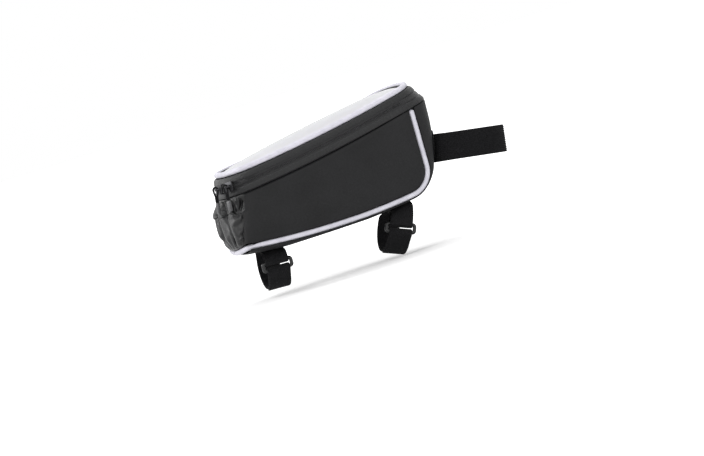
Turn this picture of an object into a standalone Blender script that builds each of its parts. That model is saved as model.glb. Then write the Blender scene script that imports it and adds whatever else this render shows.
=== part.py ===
"""Frame phone bag: a zipped bag for the top tube of a bicycle, with a clear window in its hinged lid.

Metres. +X points forward along the tube, +Z away from the tube, and the near side faces -Y.
The origin is the middle of the flat land by which the bag sits on the tube.
"""

import math

import bmesh
import bpy
from mathutils import Matrix, Vector

# Clearances and cloth
GAP = 0.0003
WALL = 0.0018
WEBBING = 0.0012
BEAD = 0.0025

# Side view of the body: the lower edge bead, the toe and the front edge
EDGE_LOW_X = 0.008
EDGE_LOW_Z = 0.0051
EDGE_BOW = 0.79
FRONT_EDGE_X = 0.0994
TOE_RADIUS = 0.022

# Underside: a flat land between the straps, rising away from it
LAND_X = -0.002
LAND_HALF = 0.038
LAND_DIP = 0.0013
LAND_PRESS = 0.0007

# Width and rear face
HALF_WIDTH = 0.0376
FLARE = 0.088
REAR_X = -0.0850
REAR_LEAN = 0.0060
REAR_LEAN_Z = 0.077
REAR_REACH_LOW = 0.0080
REAR_REACH_RISE = 0.0200
REACH_START_Z = 0.010
REACH_RISE_Z = 0.050
REAR_WRAP = 0.47
REAR_SAG = 0.0043
TAIL_FILL = 0.0025
TAIL_SHARE = 0.07
REAR_SEAM = 0.010
FOLD_DEPTH = 0.0016
FOLD_PITCH = 0.021
FOLD_END = 0.7
FOLD_FADE = 0.2

# Seam under the lid band, and the band
SEAM_Z = 0.0657
SEAM_SLOPE = 0.1437
SEAM_BOW = 0.377
BAND_HEIGHT = 0.0178
BAND_LEAN = 0.59
ZIP_HEIGHT = 0.0090
SLOT_HALF = 0.0023
COIL_RADIUS = 0.0007
COIL_OFFSET = 0.0013

# Rounded nose in plan
NOSE = 0.0195
NOSE_BOW = 3.8
NOSE_LEAST = 0.0014
NOSE_Z = 0.084
ROUNDNESS = 2.4

# Lid top
RIM_WIDTH = 0.0036
RIM_THICK = 0.0012
WINDOW_THICK = 0.0006
WINDOW_CROWN = 0.0078
POCKET_HEIGHT = 0.0127
POCKET_THICK = 0.0008
POCKET_MOUTH = 0.13

# Pads and board inside
PAD_THICK = 0.0015
PAD_MARGIN = 0.007
BOARD_THICK = 0.0014
BOARD_REAR = -0.062
BOARD_FRONT = 0.060
BOARD_SHARE = 0.74

# Tube straps
TUBE_RADIUS = 0.0160
FRONT_TUBE_RADIUS = 0.0190
RING_STAND = 0.0032
STRAP_WIDTH = 0.020
RING_WIRE = 0.0013
RING_HALF = 0.0130
RING_TOP_Z = -0.0096
FRONT_RING_TOP_Z = -0.0142
RING_DROP = 0.0070
REAR_STRAP_X = -0.0535
REAR_STRAP_TURN = math.radians(3)
FRONT_STRAP_X = 0.0700
FRONT_STRAP_TURN = math.radians(22)
TURN_DEPTH = 0.007
TAB_START_Y = -0.0085
STRAP_START_Y = 0.0055
TAB_EXTRA_WIDTH = 0.0015
RING_BEND = 0.0018

# Steerer strap
STEERER_X = 0.167
STEERER_RADIUS = 0.0180
STEERER_STRAP_WIDTH = 0.025
STEERER_STRAP_THICK = 0.0014
STEERER_STRAP_Z = 0.0426
STEERER_STRAP_FALL = 0.16
ARM_Y = 0.0185
PATCH_HALF_WIDTH = 0.0215
PATCH_HALF_HEIGHT = 0.0160
PATCH_BULGE = 0.0006
ARM_ROOT_Y = 0.004
ARM_STEPS = 5
LOOP_ARC_STEPS = 18
NEAR_LOOP = (0.0026, math.radians(75))
FAR_LOOP = (0.0008, math.radians(62))
ARM_BELLY = ((0.05, 0.0022), (0.14, 0.0032), (0.3, 0.0028), (0.5, 0.002), (0.75, 0.0008))

# Zip sliders and pulls
SLIDER_NEAR_Q = -0.71
SLIDER_FAR_Q = -0.37
FRAME_STEP = 0.02
INNER_CLEAR = 0.0012
SLIDER_LENGTH = 0.010
SLIDER_WIDTH = 0.0085
INNER_LENGTH = 0.008
SLIDER_LIFT = 0.0019
PLATE = 0.0014
NECK_THICK = 0.0006
BAIL_WIRE = 0.0007
BAIL_HALF = 0.0030
POST_SLIM = 1.7
PULL_CORD = 0.0007
PULL_LENGTH = 0.0110
TAB_LENGTH = 0.0095
TAB_WIDTH = 0.0050
TAB_THICK = 0.0022

# Facets
ROUND_STEPS = 7
ACROSS = 2 * ROUND_STEPS
ALONG = 8
SIDE_STEPS = 12
SIDE_CROWD = 1.6
TOE_STEPS = 4
WRAP_STEPS = 9
EDGE_KNOTS = 30


def smooth(t):
    """0 to 1 with level ends."""
    t = min(max(t, 0.0), 1.0)
    return t * t * (3 - 2 * t)


def half_width(z):
    """Half the width of the bag at a height."""
    return HALF_WIDTH + FLARE * z


def seam_z(x):
    """Height of the seam between the body and the lid band."""
    return SEAM_Z + SEAM_SLOPE * x + SEAM_BOW * x * x


def belly_z(x):
    """Height of the underside along its middle: level on the land, rising beyond it."""
    return max(0.0, -LAND_DIP * (1 - ((x - LAND_X) / LAND_HALF) ** 2))


def rounding(q):
    """Share of a bulge that is left at q, from 1 in the middle to 0 at the edge q = 1."""
    return max(0.0, 1 - abs(q) ** ROUNDNESS) ** (1 / ROUNDNESS)


def nose_reach(z):
    """How far the front bulges past its edge at a height."""
    return max(NOSE - NOSE_BOW * max(0.0, NOSE_Z - z) ** 2, NOSE_LEAST)


def edge_z(x):
    """Height of the lower bead's centre line."""
    return EDGE_LOW_Z + EDGE_BOW * (x - EDGE_LOW_X) ** 2


def toe():
    """Where the lower edge turns up: the arc's centre, and the angle at which it starts."""
    centre_x = FRONT_EDGE_X - TOE_RADIUS
    angle = 0.0
    for _ in range(6):
        angle = math.atan(2 * EDGE_BOW * (centre_x + TOE_RADIUS * math.sin(angle) - EDGE_LOW_X))
    start_x = centre_x + TOE_RADIUS * math.sin(angle)
    return centre_x, edge_z(start_x) + TOE_RADIUS * math.cos(angle), angle


TOE_X, TOE_Z, TOE_ANGLE = toe()
TOE_START_X = TOE_X + TOE_RADIUS * math.sin(TOE_ANGLE)
EDGE_STEP = BEAD + GAP


def rear_x(z):
    """The rearmost line of the rear face at a height."""
    return REAR_X + REAR_LEAN * (z / REAR_LEAN_Z) ** 4


def rear_reach(z):
    """How far the rounded rear stands behind the sides at a height: little at the bottom, much at the band."""
    return REAR_REACH_LOW + REAR_REACH_RISE * smooth((z - REACH_START_Z) / REACH_RISE_Z)


def side_end(z, wrap, inset=0.0):
    """Where a side piece ends that goes round a share of the rear's rounding."""
    return rear_x(z) + rear_reach(z) - wrap * (rear_reach(z) - inset)


def side_y(x, z, inset=0.0):
    """Half the width of the body at a place, drawn in where the rear rounds off."""
    reach = rear_reach(z) - inset
    behind = max(0.0, rear_x(z) + rear_reach(z) - x) / reach
    return (half_width(z) - inset) * rounding(min(behind, 1.0))


REAR_Q = rounding(REAR_WRAP)


def sag_z(q):
    """Height of the bead's middle line where it runs across under the rear."""
    corner_x = rear_x(0) + REAR_REACH_LOW
    return edge_z(corner_x) - REAR_SAG * (1 - q * q)


def edge_path(s):
    """Bead centre line, s from 0 at the rear to 1 at the toe, 2 past it and 3 at the top: (x, z) and outward (x, z)."""
    start = rear_x(0) + REAR_REACH_LOW
    if s <= 1:
        x = start + (TOE_START_X - start) * s
        slope = 2 * EDGE_BOW * (x - EDGE_LOW_X)
        size = math.hypot(slope, 1)
        return (x, edge_z(x)), (slope / size, -1 / size)
    if s <= 2:
        angle = TOE_ANGLE + (math.pi / 2 - TOE_ANGLE) * (s - 1)
        out = (math.sin(angle), -math.cos(angle))
        return (TOE_X + TOE_RADIUS * out[0], TOE_Z + TOE_RADIUS * out[1]), out
    top = seam_z(FRONT_EDGE_X - BEAD) - GAP
    return (FRONT_EDGE_X, TOE_Z + (top - TOE_Z) * (s - 2)), (1.0, 0.0)


def gusset_point(s, q, deep):
    """The strip between the two lower beads: deep 0 on its outside and 1 on its inside."""
    (x, z), out = edge_path(s)
    under = max(edge_z(x) - EDGE_STEP - belly_z(x), WALL)
    reach = nose_reach(z)
    bulge = under + (reach - under) * smooth(s - 1) if s < 2 else reach
    if s < 1:
        bulge += LAND_PRESS * (1 - smooth(s))
    step = EDGE_STEP + (bulge - WALL * deep) * rounding(q)
    width = half_width(z) - WALL * deep
    point = Vector((x + out[0] * step, q * width, z + out[1] * step))
    if s < 1:
        level = belly_z(x) + WALL * deep
        point.z = max(point.z, level)
        point.x -= TAIL_FILL * rounding(q) * max(0.0, 1 - s / TAIL_SHARE)
    if s > 2:
        share = s - 2
        point.z = TOE_Z + (seam_z(point.x) - GAP / 2 - TOE_Z) * share
    return point


def band_rear_x(height):
    """The rearmost line at a height above the seam."""
    x = REAR_X
    for _ in range(6):
        x = rear_x(seam_z(x) + height)
    return x


def plan_point(u, q, height, inset=0.0):
    """A point at a height above the seam: u from the rear edge to the nose, q from side to side, drawn in by inset."""
    rear = band_rear_x(height)
    reach = rear_reach(seam_z(rear) + height)
    back = rear + reach
    front = FRONT_EDGE_X + EDGE_STEP - BAND_LEAN * height
    line_x = back + (front - back) * u
    width = half_width(seam_z(line_x) + height) - inset
    tail = back - (reach - inset) * rounding(q)
    nose = front + (NOSE - inset) * rounding(q)
    x = tail + (nose - tail) * u
    return Vector((x, q * width, seam_z(x) + height))


def across(v):
    """Spreads 0 to 1 over the width, -1 to 1, closer at the edges."""
    return math.sin((v - 0.5) * math.pi)


def loop_place(t):
    """A station round the plan outline, t from 0 at the rear middle once round: (u, q)."""
    steps = t * 2 * (2 * ROUND_STEPS + ALONG)
    half = 2 * ROUND_STEPS + ALONG
    side = -1 if steps <= half else 1
    if steps > half:
        steps = 2 * half - steps
    turn = math.pi / 2 / ROUND_STEPS
    if steps <= ROUND_STEPS:
        return 0.0, side * math.sin(turn * steps)
    if steps <= ROUND_STEPS + ALONG:
        return (steps - ROUND_STEPS) / ALONG, float(side)
    return 1.0, side * math.sin(turn * (half - steps))


LOOP_STEPS = 2 * (2 * ROUND_STEPS + ALONG)
NOSE_START = (ROUND_STEPS + ALONG) / LOOP_STEPS


def outline(t, height, inset=0.0):
    """A point of the plan outline at a height above the seam."""
    u, q = loop_place(t)
    return plan_point(u, q, height, inset)


def make_material(name, colour, roughness, metallic=0.0, alpha=1.0):
    """A Principled material."""
    material = bpy.data.materials.new(name)
    material.use_nodes = True
    shader = material.node_tree.nodes["Principled BSDF"]
    shader.inputs["Base Color"].default_value = (*colour, 1.0)
    shader.inputs["Roughness"].default_value = roughness
    shader.inputs["Metallic"].default_value = metallic
    shader.inputs["Alpha"].default_value = alpha
    return material


def collection(name):
    """A new collection in the scene."""
    made = bpy.data.collections.new(name)
    bpy.context.scene.collection.children.link(made)
    return made


def add(name, mesh, material, where):
    """An object that holds a mesh, with its material."""
    obj = bpy.data.objects.new(name, mesh)
    mesh.materials.append(material)
    where.objects.link(obj)
    return obj


def shell(name, material, columns, rows, point, closed=False):
    """A closed sheet: point(u, v, deep) gives its outside at deep 0 and its inside at deep 1."""
    bm = bmesh.new()
    bmesh.ops.create_grid(bm, x_segments=columns, y_segments=rows, size=0.5)
    bmesh.ops.solidify(bm, geom=bm.faces[:], thickness=1.0)
    ends = [f for f in bm.faces if abs(f.normal.x) > 0.5]
    if closed:
        bmesh.ops.delete(bm, geom=ends, context="FACES")
    for vert in bm.verts:
        vert.co = point(vert.co.x + 0.5, vert.co.y + 0.5, min(abs(vert.co.z), 1.0))
    if closed:
        bmesh.ops.remove_doubles(bm, verts=bm.verts[:], dist=1e-6)
    bmesh.ops.recalc_face_normals(bm, faces=bm.faces[:])
    if bm.calc_volume(signed=True) < 0:
        bmesh.ops.reverse_faces(bm, faces=bm.faces[:])
    mesh = bpy.data.meshes.new(name)
    bm.to_mesh(mesh)
    bm.free()
    mesh.shade_smooth()
    mesh.set_sharp_from_angle(angle=math.radians(50))
    return add(name, mesh, material, bag)


def rod(name, material, points, radius, cyclic=False, sides=2, where=None):
    """A round cord or wire through points."""
    curve = bpy.data.curves.new(name, "CURVE")
    curve.dimensions = "3D"
    curve.bevel_depth = radius
    curve.bevel_resolution = sides
    curve.use_fill_caps = not cyclic
    spline = curve.splines.new("POLY")
    spline.points.add(len(points) - 1)
    for knot, point in zip(spline.points, points):
        knot.co = (*point, 1.0)
    spline.use_cyclic_u = cyclic
    obj = bpy.data.objects.new(name, curve)
    curve.materials.append(material)
    (where or bag).objects.link(obj)
    return obj


def ribbon(name, material, stations, thickness):
    """A strip of webbing: stations are (middle, vector across its width)."""
    count = len(stations) - 1

    def normal(index):
        before, after = stations[max(index - 1, 0)][0], stations[min(index + 1, count)][0]
        return (after - before).cross(stations[index][1]).normalized()

    def point(u, v, deep):
        index = round(u * count)
        middle, width = stations[index]
        return middle + width * (v - 0.5) + normal(index) * thickness * (deep - 0.5)

    return shell(name, material, count, 2, point)


def box(name, size, middle):
    """A helper block for a Boolean."""
    bm = bmesh.new()
    bmesh.ops.create_cube(bm, size=1.0)
    bmesh.ops.scale(bm, vec=Vector(size), verts=bm.verts[:])
    bmesh.ops.translate(bm, vec=Vector(middle), verts=bm.verts[:])
    mesh = bpy.data.meshes.new(name)
    bm.to_mesh(mesh)
    bm.free()
    return mesh


def helper(name, mesh):
    """A hidden object that a Boolean reads."""
    obj = bpy.data.objects.new(name, mesh)
    helpers.objects.link(obj)
    obj.hide_render = True
    obj.display_type = "WIRE"
    return obj


def join(obj, others):
    """Boolean unions of helpers into an object."""
    for other in others:
        modifier = obj.modifiers.new(other.name, "BOOLEAN")
        modifier.operation = "UNION"
        modifier.object = other


def empty(name, place):
    """A pivot that a moving piece hangs from."""
    obj = bpy.data.objects.new(name, None)
    obj.location = place
    obj.empty_display_size = 0.01
    bag.objects.link(obj)
    return obj


def hang(pivot, pieces):
    """Parents pieces to a pivot and leaves them where they are."""
    for piece in pieces:
        piece.parent = pivot
        piece.matrix_parent_inverse = Matrix.Translation(pivot.location).inverted()


def body_panels():
    """Underside, front, rear and sides, and the beads between them."""
    shell("bottom_panel", cloth, 15, ACROSS, lambda u, v, d: gusset_point(1.5 * u, across(v), d))
    step = GAP / (TOE_RADIUS * (math.pi / 2 - TOE_ANGLE))
    shell("front_panel", cloth, 9, ACROSS, lambda u, v, d: gusset_point(1.5 + step + (1.5 - step) * u, across(v), d))

    def rear(u, v, deep):
        q = across(v) * (REAR_Q - REAR_SEAM)
        low = sag_z(q) + EDGE_STEP + GAP
        high = plan_point(0.0, q, 0.0).z - GAP / 2
        z = low + (high - low) * u
        crease = FOLD_DEPTH * math.sin(math.pi * u) * math.cos(math.pi * q * half_width(z) / FOLD_PITCH) ** 2
        crease *= 1 - smooth((abs(q) - FOLD_END) / FOLD_FADE)
        reach = rear_reach(z)
        x = rear_x(z) + reach - (reach - WALL * deep) * rounding(q) - crease
        return Vector((x, q * (half_width(z) - WALL * deep), z))

    shell("rear_panel", cloth, 8, 2 * ACROSS, rear)
    for side, word in ((-1, "near"), (1, "far")):
        side_panel(f"side_panel_{word}", cloth, side, EDGE_STEP, REAR_WRAP, 0.0, WALL)
        side_panel(f"side_pad_{word}", foam, side, PAD_MARGIN, 0.0, WALL + GAP, PAD_THICK)
        points = []
        for index in range(WRAP_STEPS):
            turn = math.pi / 2 * index / WRAP_STEPS
            q = math.sin(turn)
            z = sag_z(q)
            x = rear_x(0) + REAR_REACH_LOW - (REAR_REACH_LOW - BEAD) * rounding(q)
            points.append(Vector((x, side * max((half_width(z) - BEAD) * q, GAP / 2), z)))
        for index in range(EDGE_KNOTS + 1):
            (x, z), _ = edge_path(3 * index / EDGE_KNOTS)
            points.append(Vector((x, side * (half_width(z) - BEAD), z)))
        rod(f"piping_{word}", reflective, points, BEAD)

    def board(u, v, deep):
        x = BOARD_REAR + (BOARD_FRONT - BOARD_REAR) * u
        q = (2 * v - 1) * BOARD_SHARE
        (path_x, z), _ = edge_path(0.0)
        share = (x - path_x) / (TOE_START_X - path_x)
        floor = gusset_point(share, q, 1).z + 2 * GAP
        return Vector((x, q * half_width(z), floor + BOARD_THICK * (1 - deep)))

    shell("base_board", board_plastic, 6, 4, board)


def side_panel(name, material, side, margin, wrap, inset, thickness):
    """A side piece whose edge lies inside the bead line by a margin, its rear part wrapped on the rear's rounding."""
    straight = SIDE_STEPS / (SIDE_STEPS + TOE_STEPS)
    extra = margin - EDGE_STEP

    def point(u, v, deep):
        depth = inset + thickness * deep
        radius = TOE_RADIUS - margin
        share = (u / straight) ** SIDE_CROWD
        start = side_end(edge_z(rear_x(0)) + margin, wrap, depth) + extra
        if share > 1:
            angle = TOE_ANGLE + (math.pi / 2 - TOE_ANGLE) * (u - straight) / (1 - straight)
            x = TOE_X + radius * math.sin(angle)
            low = TOE_Z - radius * math.cos(angle)
        else:
            end = TOE_X + radius * math.sin(TOE_ANGLE)
            x = start + (end - start) * share
            low = edge_z(x) + margin * math.hypot(1, math.tan(TOE_ANGLE) * share)
        high = seam_z(x) - GAP / 2 - extra
        z = low + (high - low) * v
        x += (side_end(z, wrap, depth) + extra - start) * max(0.0, 1 - share)
        z = min(z, seam_z(x) - GAP / 2 - extra)
        return Vector((x, side * side_y(x, z, depth), z))

    return shell(name, material, SIDE_STEPS + TOE_STEPS, 5, point)


def lid_band():
    """The zip band in two halves, with the coils between them and the strip that hinges the lid."""

    def band(low, high):
        return lambda u, v, d: outline(u, low + (high - low) * v, WALL * d)

    shell("lower_band", cloth, LOOP_STEPS, 2, band(GAP / 2, ZIP_HEIGHT - SLOT_HALF), closed=True)
    upper = shell("upper_band", cloth, LOOP_STEPS, 2, band(ZIP_HEIGHT + SLOT_HALF, BAND_HEIGHT), closed=True)

    def hinge(u, v, deep):
        span = 1 - 2 * NOSE_START
        rise = (SLOT_HALF - GAP) * (2 * v - 1)
        return outline(NOSE_START + span * u, ZIP_HEIGHT + rise, WALL * deep)

    shell("lid_hinge_strip", cloth, 2 * ROUND_STEPS, 1, hinge)
    coils = []
    for word, side in (("lower", -1), ("upper", 1)):
        points = []
        steps = round(NOSE_START * LOOP_STEPS)
        for index in range(-steps, steps + 1):
            t = (index / LOOP_STEPS) % 1.0
            t_end = 0.4 / LOOP_STEPS if abs(index) == steps else 0.0
            t += t_end if index < 0 else -t_end
            points.append(outline(t, ZIP_HEIGHT + side * COIL_OFFSET, WALL / 2))
        coils.append(rod(f"zip_coil_{word}", zip_nylon, points, COIL_RADIUS, sides=1))
    return upper, coils[1]


def lid_top():
    """Bead, rim, window and phone pocket of the lid."""
    bead_height = BAND_HEIGHT + GAP + BEAD
    steps = [outline(index / LOOP_STEPS, bead_height, BEAD) for index in range(LOOP_STEPS)]
    bead = rod("lid_piping", reflective, steps, BEAD, cyclic=True)
    rim_in = 2 * BEAD + GAP

    def rim(u, v, deep):
        return outline(u, bead_height, rim_in + RIM_WIDTH * v) + Vector((0, 0, RIM_THICK * (0.5 - deep)))

    rim_piece = shell("lid_rim", binding, LOOP_STEPS, 1, rim, closed=True)
    glass_in = rim_in + RIM_WIDTH + GAP

    def window(u, v, deep):
        q = across(v)
        point = plan_point(smooth(u) * 0.5 + u * 0.5, q, bead_height, glass_in)
        crown = WINDOW_CROWN * max(0.0, math.sin(math.pi * u)) ** 0.75 * (1 - q * q)
        point.z += RIM_THICK / 2 - WINDOW_THICK * deep + crown
        return point

    glass = shell("lid_window", clear_film, ALONG + 2, ACROSS, window)

    def pocket(u, v, deep):
        place = POCKET_MOUTH + (1 - POCKET_MOUTH) * u
        return plan_point(place, across(v), POCKET_HEIGHT - POCKET_THICK * deep, WALL + GAP)

    sheet = shell("phone_pocket", lining, ALONG, ACROSS, pocket)
    return bead, rim_piece, glass, sheet


def strap_frame(x0, turn):
    """Turns a strap's section (y, z) and its width into the bag's frame, turning more with depth."""

    def place(along, y, z):
        share = smooth(-z / TURN_DEPTH)
        angle = turn * share
        x = x0 + along * math.cos(angle) + z * math.sin(angle)
        lift = (belly_z(x) - belly_z(x0)) * (1 - share)
        return Vector((x, y, z * math.cos(angle) - along * math.sin(angle) + lift))

    return place


def arc(centre, radius, start, end, count):
    """Points (y, z) on an arc, angles in degrees."""
    points = []
    for index in range(count + 1):
        angle = math.radians(start + (end - start) * index / count)
        points.append((centre[0] + radius * math.cos(angle), centre[1] + radius * math.sin(angle)))
    return points


def tube_strap(word, x0, turn, tube, ring_top):
    """One tube strap: its ring, the folded tab that holds the ring, and the strap itself."""
    place = strap_frame(x0, turn)
    ring_y, ring_low = -tube - RING_STAND, ring_top - RING_DROP
    flat = belly_z(x0) - GAP - WEBBING / 2
    hold = RING_WIRE + 1.7 * GAP + WEBBING / 2
    step = WEBBING + GAP
    top, low = (ring_y, ring_top), (ring_y, ring_low)
    tab = [(TAB_START_Y, flat), (TAB_START_Y - 0.0035, flat), (ring_y + 0.0042, flat - 0.0004)]
    tab += [(ring_y + 0.0012, flat - step), (ring_y - 0.0011, flat - 0.0042)]
    tab += arc(top, hold, 180, 360, 8)
    tab += [(ring_y + 0.0026, ring_top + 0.0024), (ring_y + 0.0044, ring_top + 0.0048)]
    tab += [(ring_y + 0.0070, flat - step - GAP), (TAB_START_Y - 0.0003, flat - step)]
    inner = tube + GAP + WEBBING / 2
    outer = inner + step
    middle = (0.0, -tube)
    strap = [(STRAP_START_Y, flat), (STRAP_START_Y + 0.0035, flat), (STRAP_START_Y + 0.0065, flat - 0.0016)]
    strap += arc(middle, inner, 32, -152, 22)
    strap += arc(low, hold, 10, 180, 8)
    strap += [(ring_y - hold + 0.0001, ring_low - 0.0020)]
    strap += arc(middle, outer, 211, 262, 8)

    def stations(points, width):
        return [(place(0, y, z), place(width / 2, y, z) - place(-width / 2, y, z)) for y, z in points]

    ribbon(f"{word}_ring_tab", webbing, stations(tab, STRAP_WIDTH + TAB_EXTRA_WIDTH), WEBBING)
    ribbon(f"{word}_tube_strap", hook_tape, stations(strap, STRAP_WIDTH), WEBBING)
    ring = []
    corners = ((1, 1, 0), (-1, 1, 90), (-1, -1, 180), (1, -1, 270))
    for side_x, side_z, start in corners:
        level = top[1] if side_z > 0 else low[1]
        for point in arc((side_x * (RING_HALF - RING_BEND), level - side_z * RING_BEND), RING_BEND, start, start + 90, 3):
            ring.append(place(point[0], ring_y, point[1]))
    rod(f"{word}_strap_ring", buckle_plastic, ring, RING_WIRE, cyclic=True)


def steerer_strap():
    """The patch on the front panel and the two strap ends that close round the steerer."""
    front = FRONT_EDGE_X + EDGE_STEP

    def front_x(y, z):
        return front + nose_reach(z) * rounding(y / half_width(z))

    def patch(u, v, deep):
        y = PATCH_HALF_WIDTH * (2 * u - 1)
        z = STEERER_STRAP_Z + PATCH_HALF_HEIGHT * (2 * v - 1)
        return Vector((front_x(y, z) + 2 * GAP + WEBBING * (1 - deep), y, z))

    shell("steerer_strap_patch", webbing, 10, 6, patch)
    base = 3 * GAP + WEBBING + STEERER_STRAP_THICK / 2
    half = STEERER_STRAP_WIDTH / 2

    def station(x, y, blend):
        z = STEERER_STRAP_Z - STEERER_STRAP_FALL * max(0.0, x - front_x(ARM_Y, STEERER_STRAP_Z))
        lean = (nose_reach(STEERER_STRAP_Z + half) - nose_reach(STEERER_STRAP_Z - half)) * (1 - blend)
        tip = STEERER_STRAP_FALL * STEERER_STRAP_WIDTH * blend
        return Vector((x, y, z)), Vector((lean + tip, 0.0, STEERER_STRAP_WIDTH))

    for side, word, (clear, end) in ((-1, "near", NEAR_LOOP), (1, "far", FAR_LOOP)):
        radius = STEERER_RADIUS + clear
        stations = []
        for index in range(ARM_STEPS + 1):
            y = ARM_ROOT_Y + (ARM_Y - ARM_ROOT_Y) * index / ARM_STEPS
            stations.append(station(front_x(y, STEERER_STRAP_Z) + base + PATCH_BULGE, side * y, 0.0))
        start = front_x(ARM_Y, STEERER_STRAP_Z) + base
        for share, out in ARM_BELLY:
            y = ARM_Y + (radius - ARM_Y) * share + out
            stations.append(station(start + (STEERER_X - start) * share, side * y, smooth(share * 4)))
        for index in range(LOOP_ARC_STEPS + 1):
            angle = math.pi / 2 - (math.pi / 2 + end) * index / LOOP_ARC_STEPS
            x = STEERER_X + radius * math.cos(angle)
            stations.append(station(x, side * radius * math.sin(angle), 1.0))
        ribbon(f"steerer_strap_{word}", hook_tape, stations, STEERER_STRAP_THICK)


def zip_frame(q):
    """The slider's own frame on the rounded rear, q from side to side: along the zip, up the band, and out of it."""
    origin = plan_point(0.0, q, ZIP_HEIGHT)
    along = (plan_point(0.0, q + FRAME_STEP, ZIP_HEIGHT) - plan_point(0.0, q - FRAME_STEP, ZIP_HEIGHT)).normalized()
    up = plan_point(0.0, q, ZIP_HEIGHT + WALL) - plan_point(0.0, q, ZIP_HEIGHT - WALL)
    up = (up - along * up.dot(along)).normalized()
    out = along.cross(up)
    if out.x > 0:
        out, along = -out, -along
    return Matrix((
        (along.x, up.x, out.x, origin.x),
        (along.y, up.y, out.y, origin.y),
        (along.z, up.z, out.z, origin.z),
        (0, 0, 0, 1),
    ))


def zip_slider(word, q):
    """One slider with its corded pull. Sizes run along the zip, up the face and out of it."""
    frame = zip_frame(q)
    plate_z = SLIDER_LIFT + PLATE / 2
    inside_z = -(WALL + INNER_CLEAR + PLATE / 2)
    bail_z = SLIDER_LIFT + PLATE + 2 * PULL_CORD + BAIL_WIRE * math.sqrt(2) + 3 * GAP
    plate = box(f"slider_{word}", (SLIDER_LENGTH, SLIDER_WIDTH, PLATE), (0, 0, plate_z))
    bm = bmesh.new()
    bm.from_mesh(plate)
    corners = [e for e in bm.edges if abs(e.verts[0].co.z - e.verts[1].co.z) > PLATE / 2]
    bmesh.ops.bevel(bm, geom=corners, offset=0.0024, segments=3, profile=0.5, affect="EDGES")
    bm.to_mesh(plate)
    bm.free()
    slider = add(f"slider_{word}", plate, metal, bag)
    deep = plate_z - inside_z
    slot_up = (frame.inverted() @ plan_point(0.0, q, ZIP_HEIGHT, WALL / 2)).y
    parts = [
        box("neck", (0.0022, NECK_THICK, deep), (0.0018, slot_up, (plate_z + inside_z) / 2)),
        box("inner_plate", (INNER_LENGTH, 2 * (SLOT_HALF - GAP), PLATE), (0, slot_up, inside_z)),
    ]
    post_low = SLIDER_LIFT + PLATE / 2
    for side in (-1, 1):
        post = (POST_SLIM * BAIL_WIRE, POST_SLIM * BAIL_WIRE, bail_z - post_low)
        parts.append(box("post", post, (side * BAIL_HALF, 0, post_low + post[2] / 2)))
    bar = (2 * BAIL_HALF + 3 * BAIL_WIRE, 2 * BAIL_WIRE, 2 * BAIL_WIRE)
    parts.append(box("bar", bar, (0, 0, bail_z)))
    join(slider, [helper(f"slider_{word}_{mesh.name}", mesh) for mesh in parts])
    for piece in [slider] + [m.object for m in slider.modifiers]:
        piece.data.transform(frame)

    turn = BAIL_WIRE * math.sqrt(2) + 2 * GAP + PULL_CORD
    loop = []
    for index in range(9):
        angle = math.pi * index / 8
        loop.append(Vector((0, turn * math.sin(angle), bail_z + turn * math.cos(angle))))
    foot = -PULL_LENGTH
    for side, share in ((-1, 0.5), (-1, 1.0), (1, 1.0), (1, 0.5)):
        spread = turn if share < 1 else PULL_CORD * 1.25
        loop.append(Vector((0, foot * share, bail_z + side * spread)))
    cord = rod(f"pull_cord_{word}", pull_fabric, [frame @ p for p in loop], PULL_CORD, cyclic=True, sides=1)

    tab_mesh = box("tab", (TAB_WIDTH, TAB_LENGTH, TAB_THICK), (0, foot - PULL_CORD - GAP - TAB_LENGTH / 2, bail_z))
    bm = bmesh.new()
    bm.from_mesh(tab_mesh)
    bmesh.ops.bevel(bm, geom=bm.edges[:], offset=0.0007, segments=2, profile=0.5, affect="EDGES")
    bmesh.ops.recalc_face_normals(bm, faces=bm.faces[:])
    bm.to_mesh(tab_mesh)
    bm.free()
    tab_mesh.transform(frame)
    tab = add(f"pull_tab_{word}", tab_mesh, pull_plastic, bag)

    slide = empty(f"slide_{word}", frame @ Vector((0, 0, 0)))
    swing = empty(f"swing_{word}", frame @ Vector((0, 0, bail_z)))
    hang(slide, [slider, swing])
    hang(swing, [cord, tab])


for old in list(bpy.data.objects):
    bpy.data.objects.remove(old)

bag = collection("frame_phone_bag")
helpers = collection("helpers")
helpers.hide_render = True

cloth = make_material("coated_polyester", (0.020, 0.021, 0.023), 0.62)
foam = make_material("foam_pad", (0.05, 0.05, 0.055), 0.9)
lining = make_material("lining", (0.07, 0.07, 0.075), 0.85)
binding = make_material("binding", (0.03, 0.03, 0.032), 0.7)
reflective = make_material("reflective_piping", (0.72, 0.72, 0.78), 0.45)
clear_film = make_material("clear_film", (0.85, 0.86, 0.88), 0.15, alpha=0.35)
board_plastic = make_material("base_board", (0.09, 0.09, 0.09), 0.6)
zip_nylon = make_material("zip_nylon", (0.012, 0.012, 0.013), 0.5)
webbing = make_material("webbing", (0.018, 0.018, 0.019), 0.8)
hook_tape = make_material("hook_tape", (0.014, 0.014, 0.015), 0.9)
buckle_plastic = make_material("buckle_plastic", (0.02, 0.02, 0.021), 0.35)
metal = make_material("slider_metal", (0.06, 0.06, 0.065), 0.35, metallic=0.9)
pull_fabric = make_material("pull_cord", (0.02, 0.02, 0.02), 0.8)
pull_plastic = make_material("pull_plastic", (0.10, 0.10, 0.11), 0.45)

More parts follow.
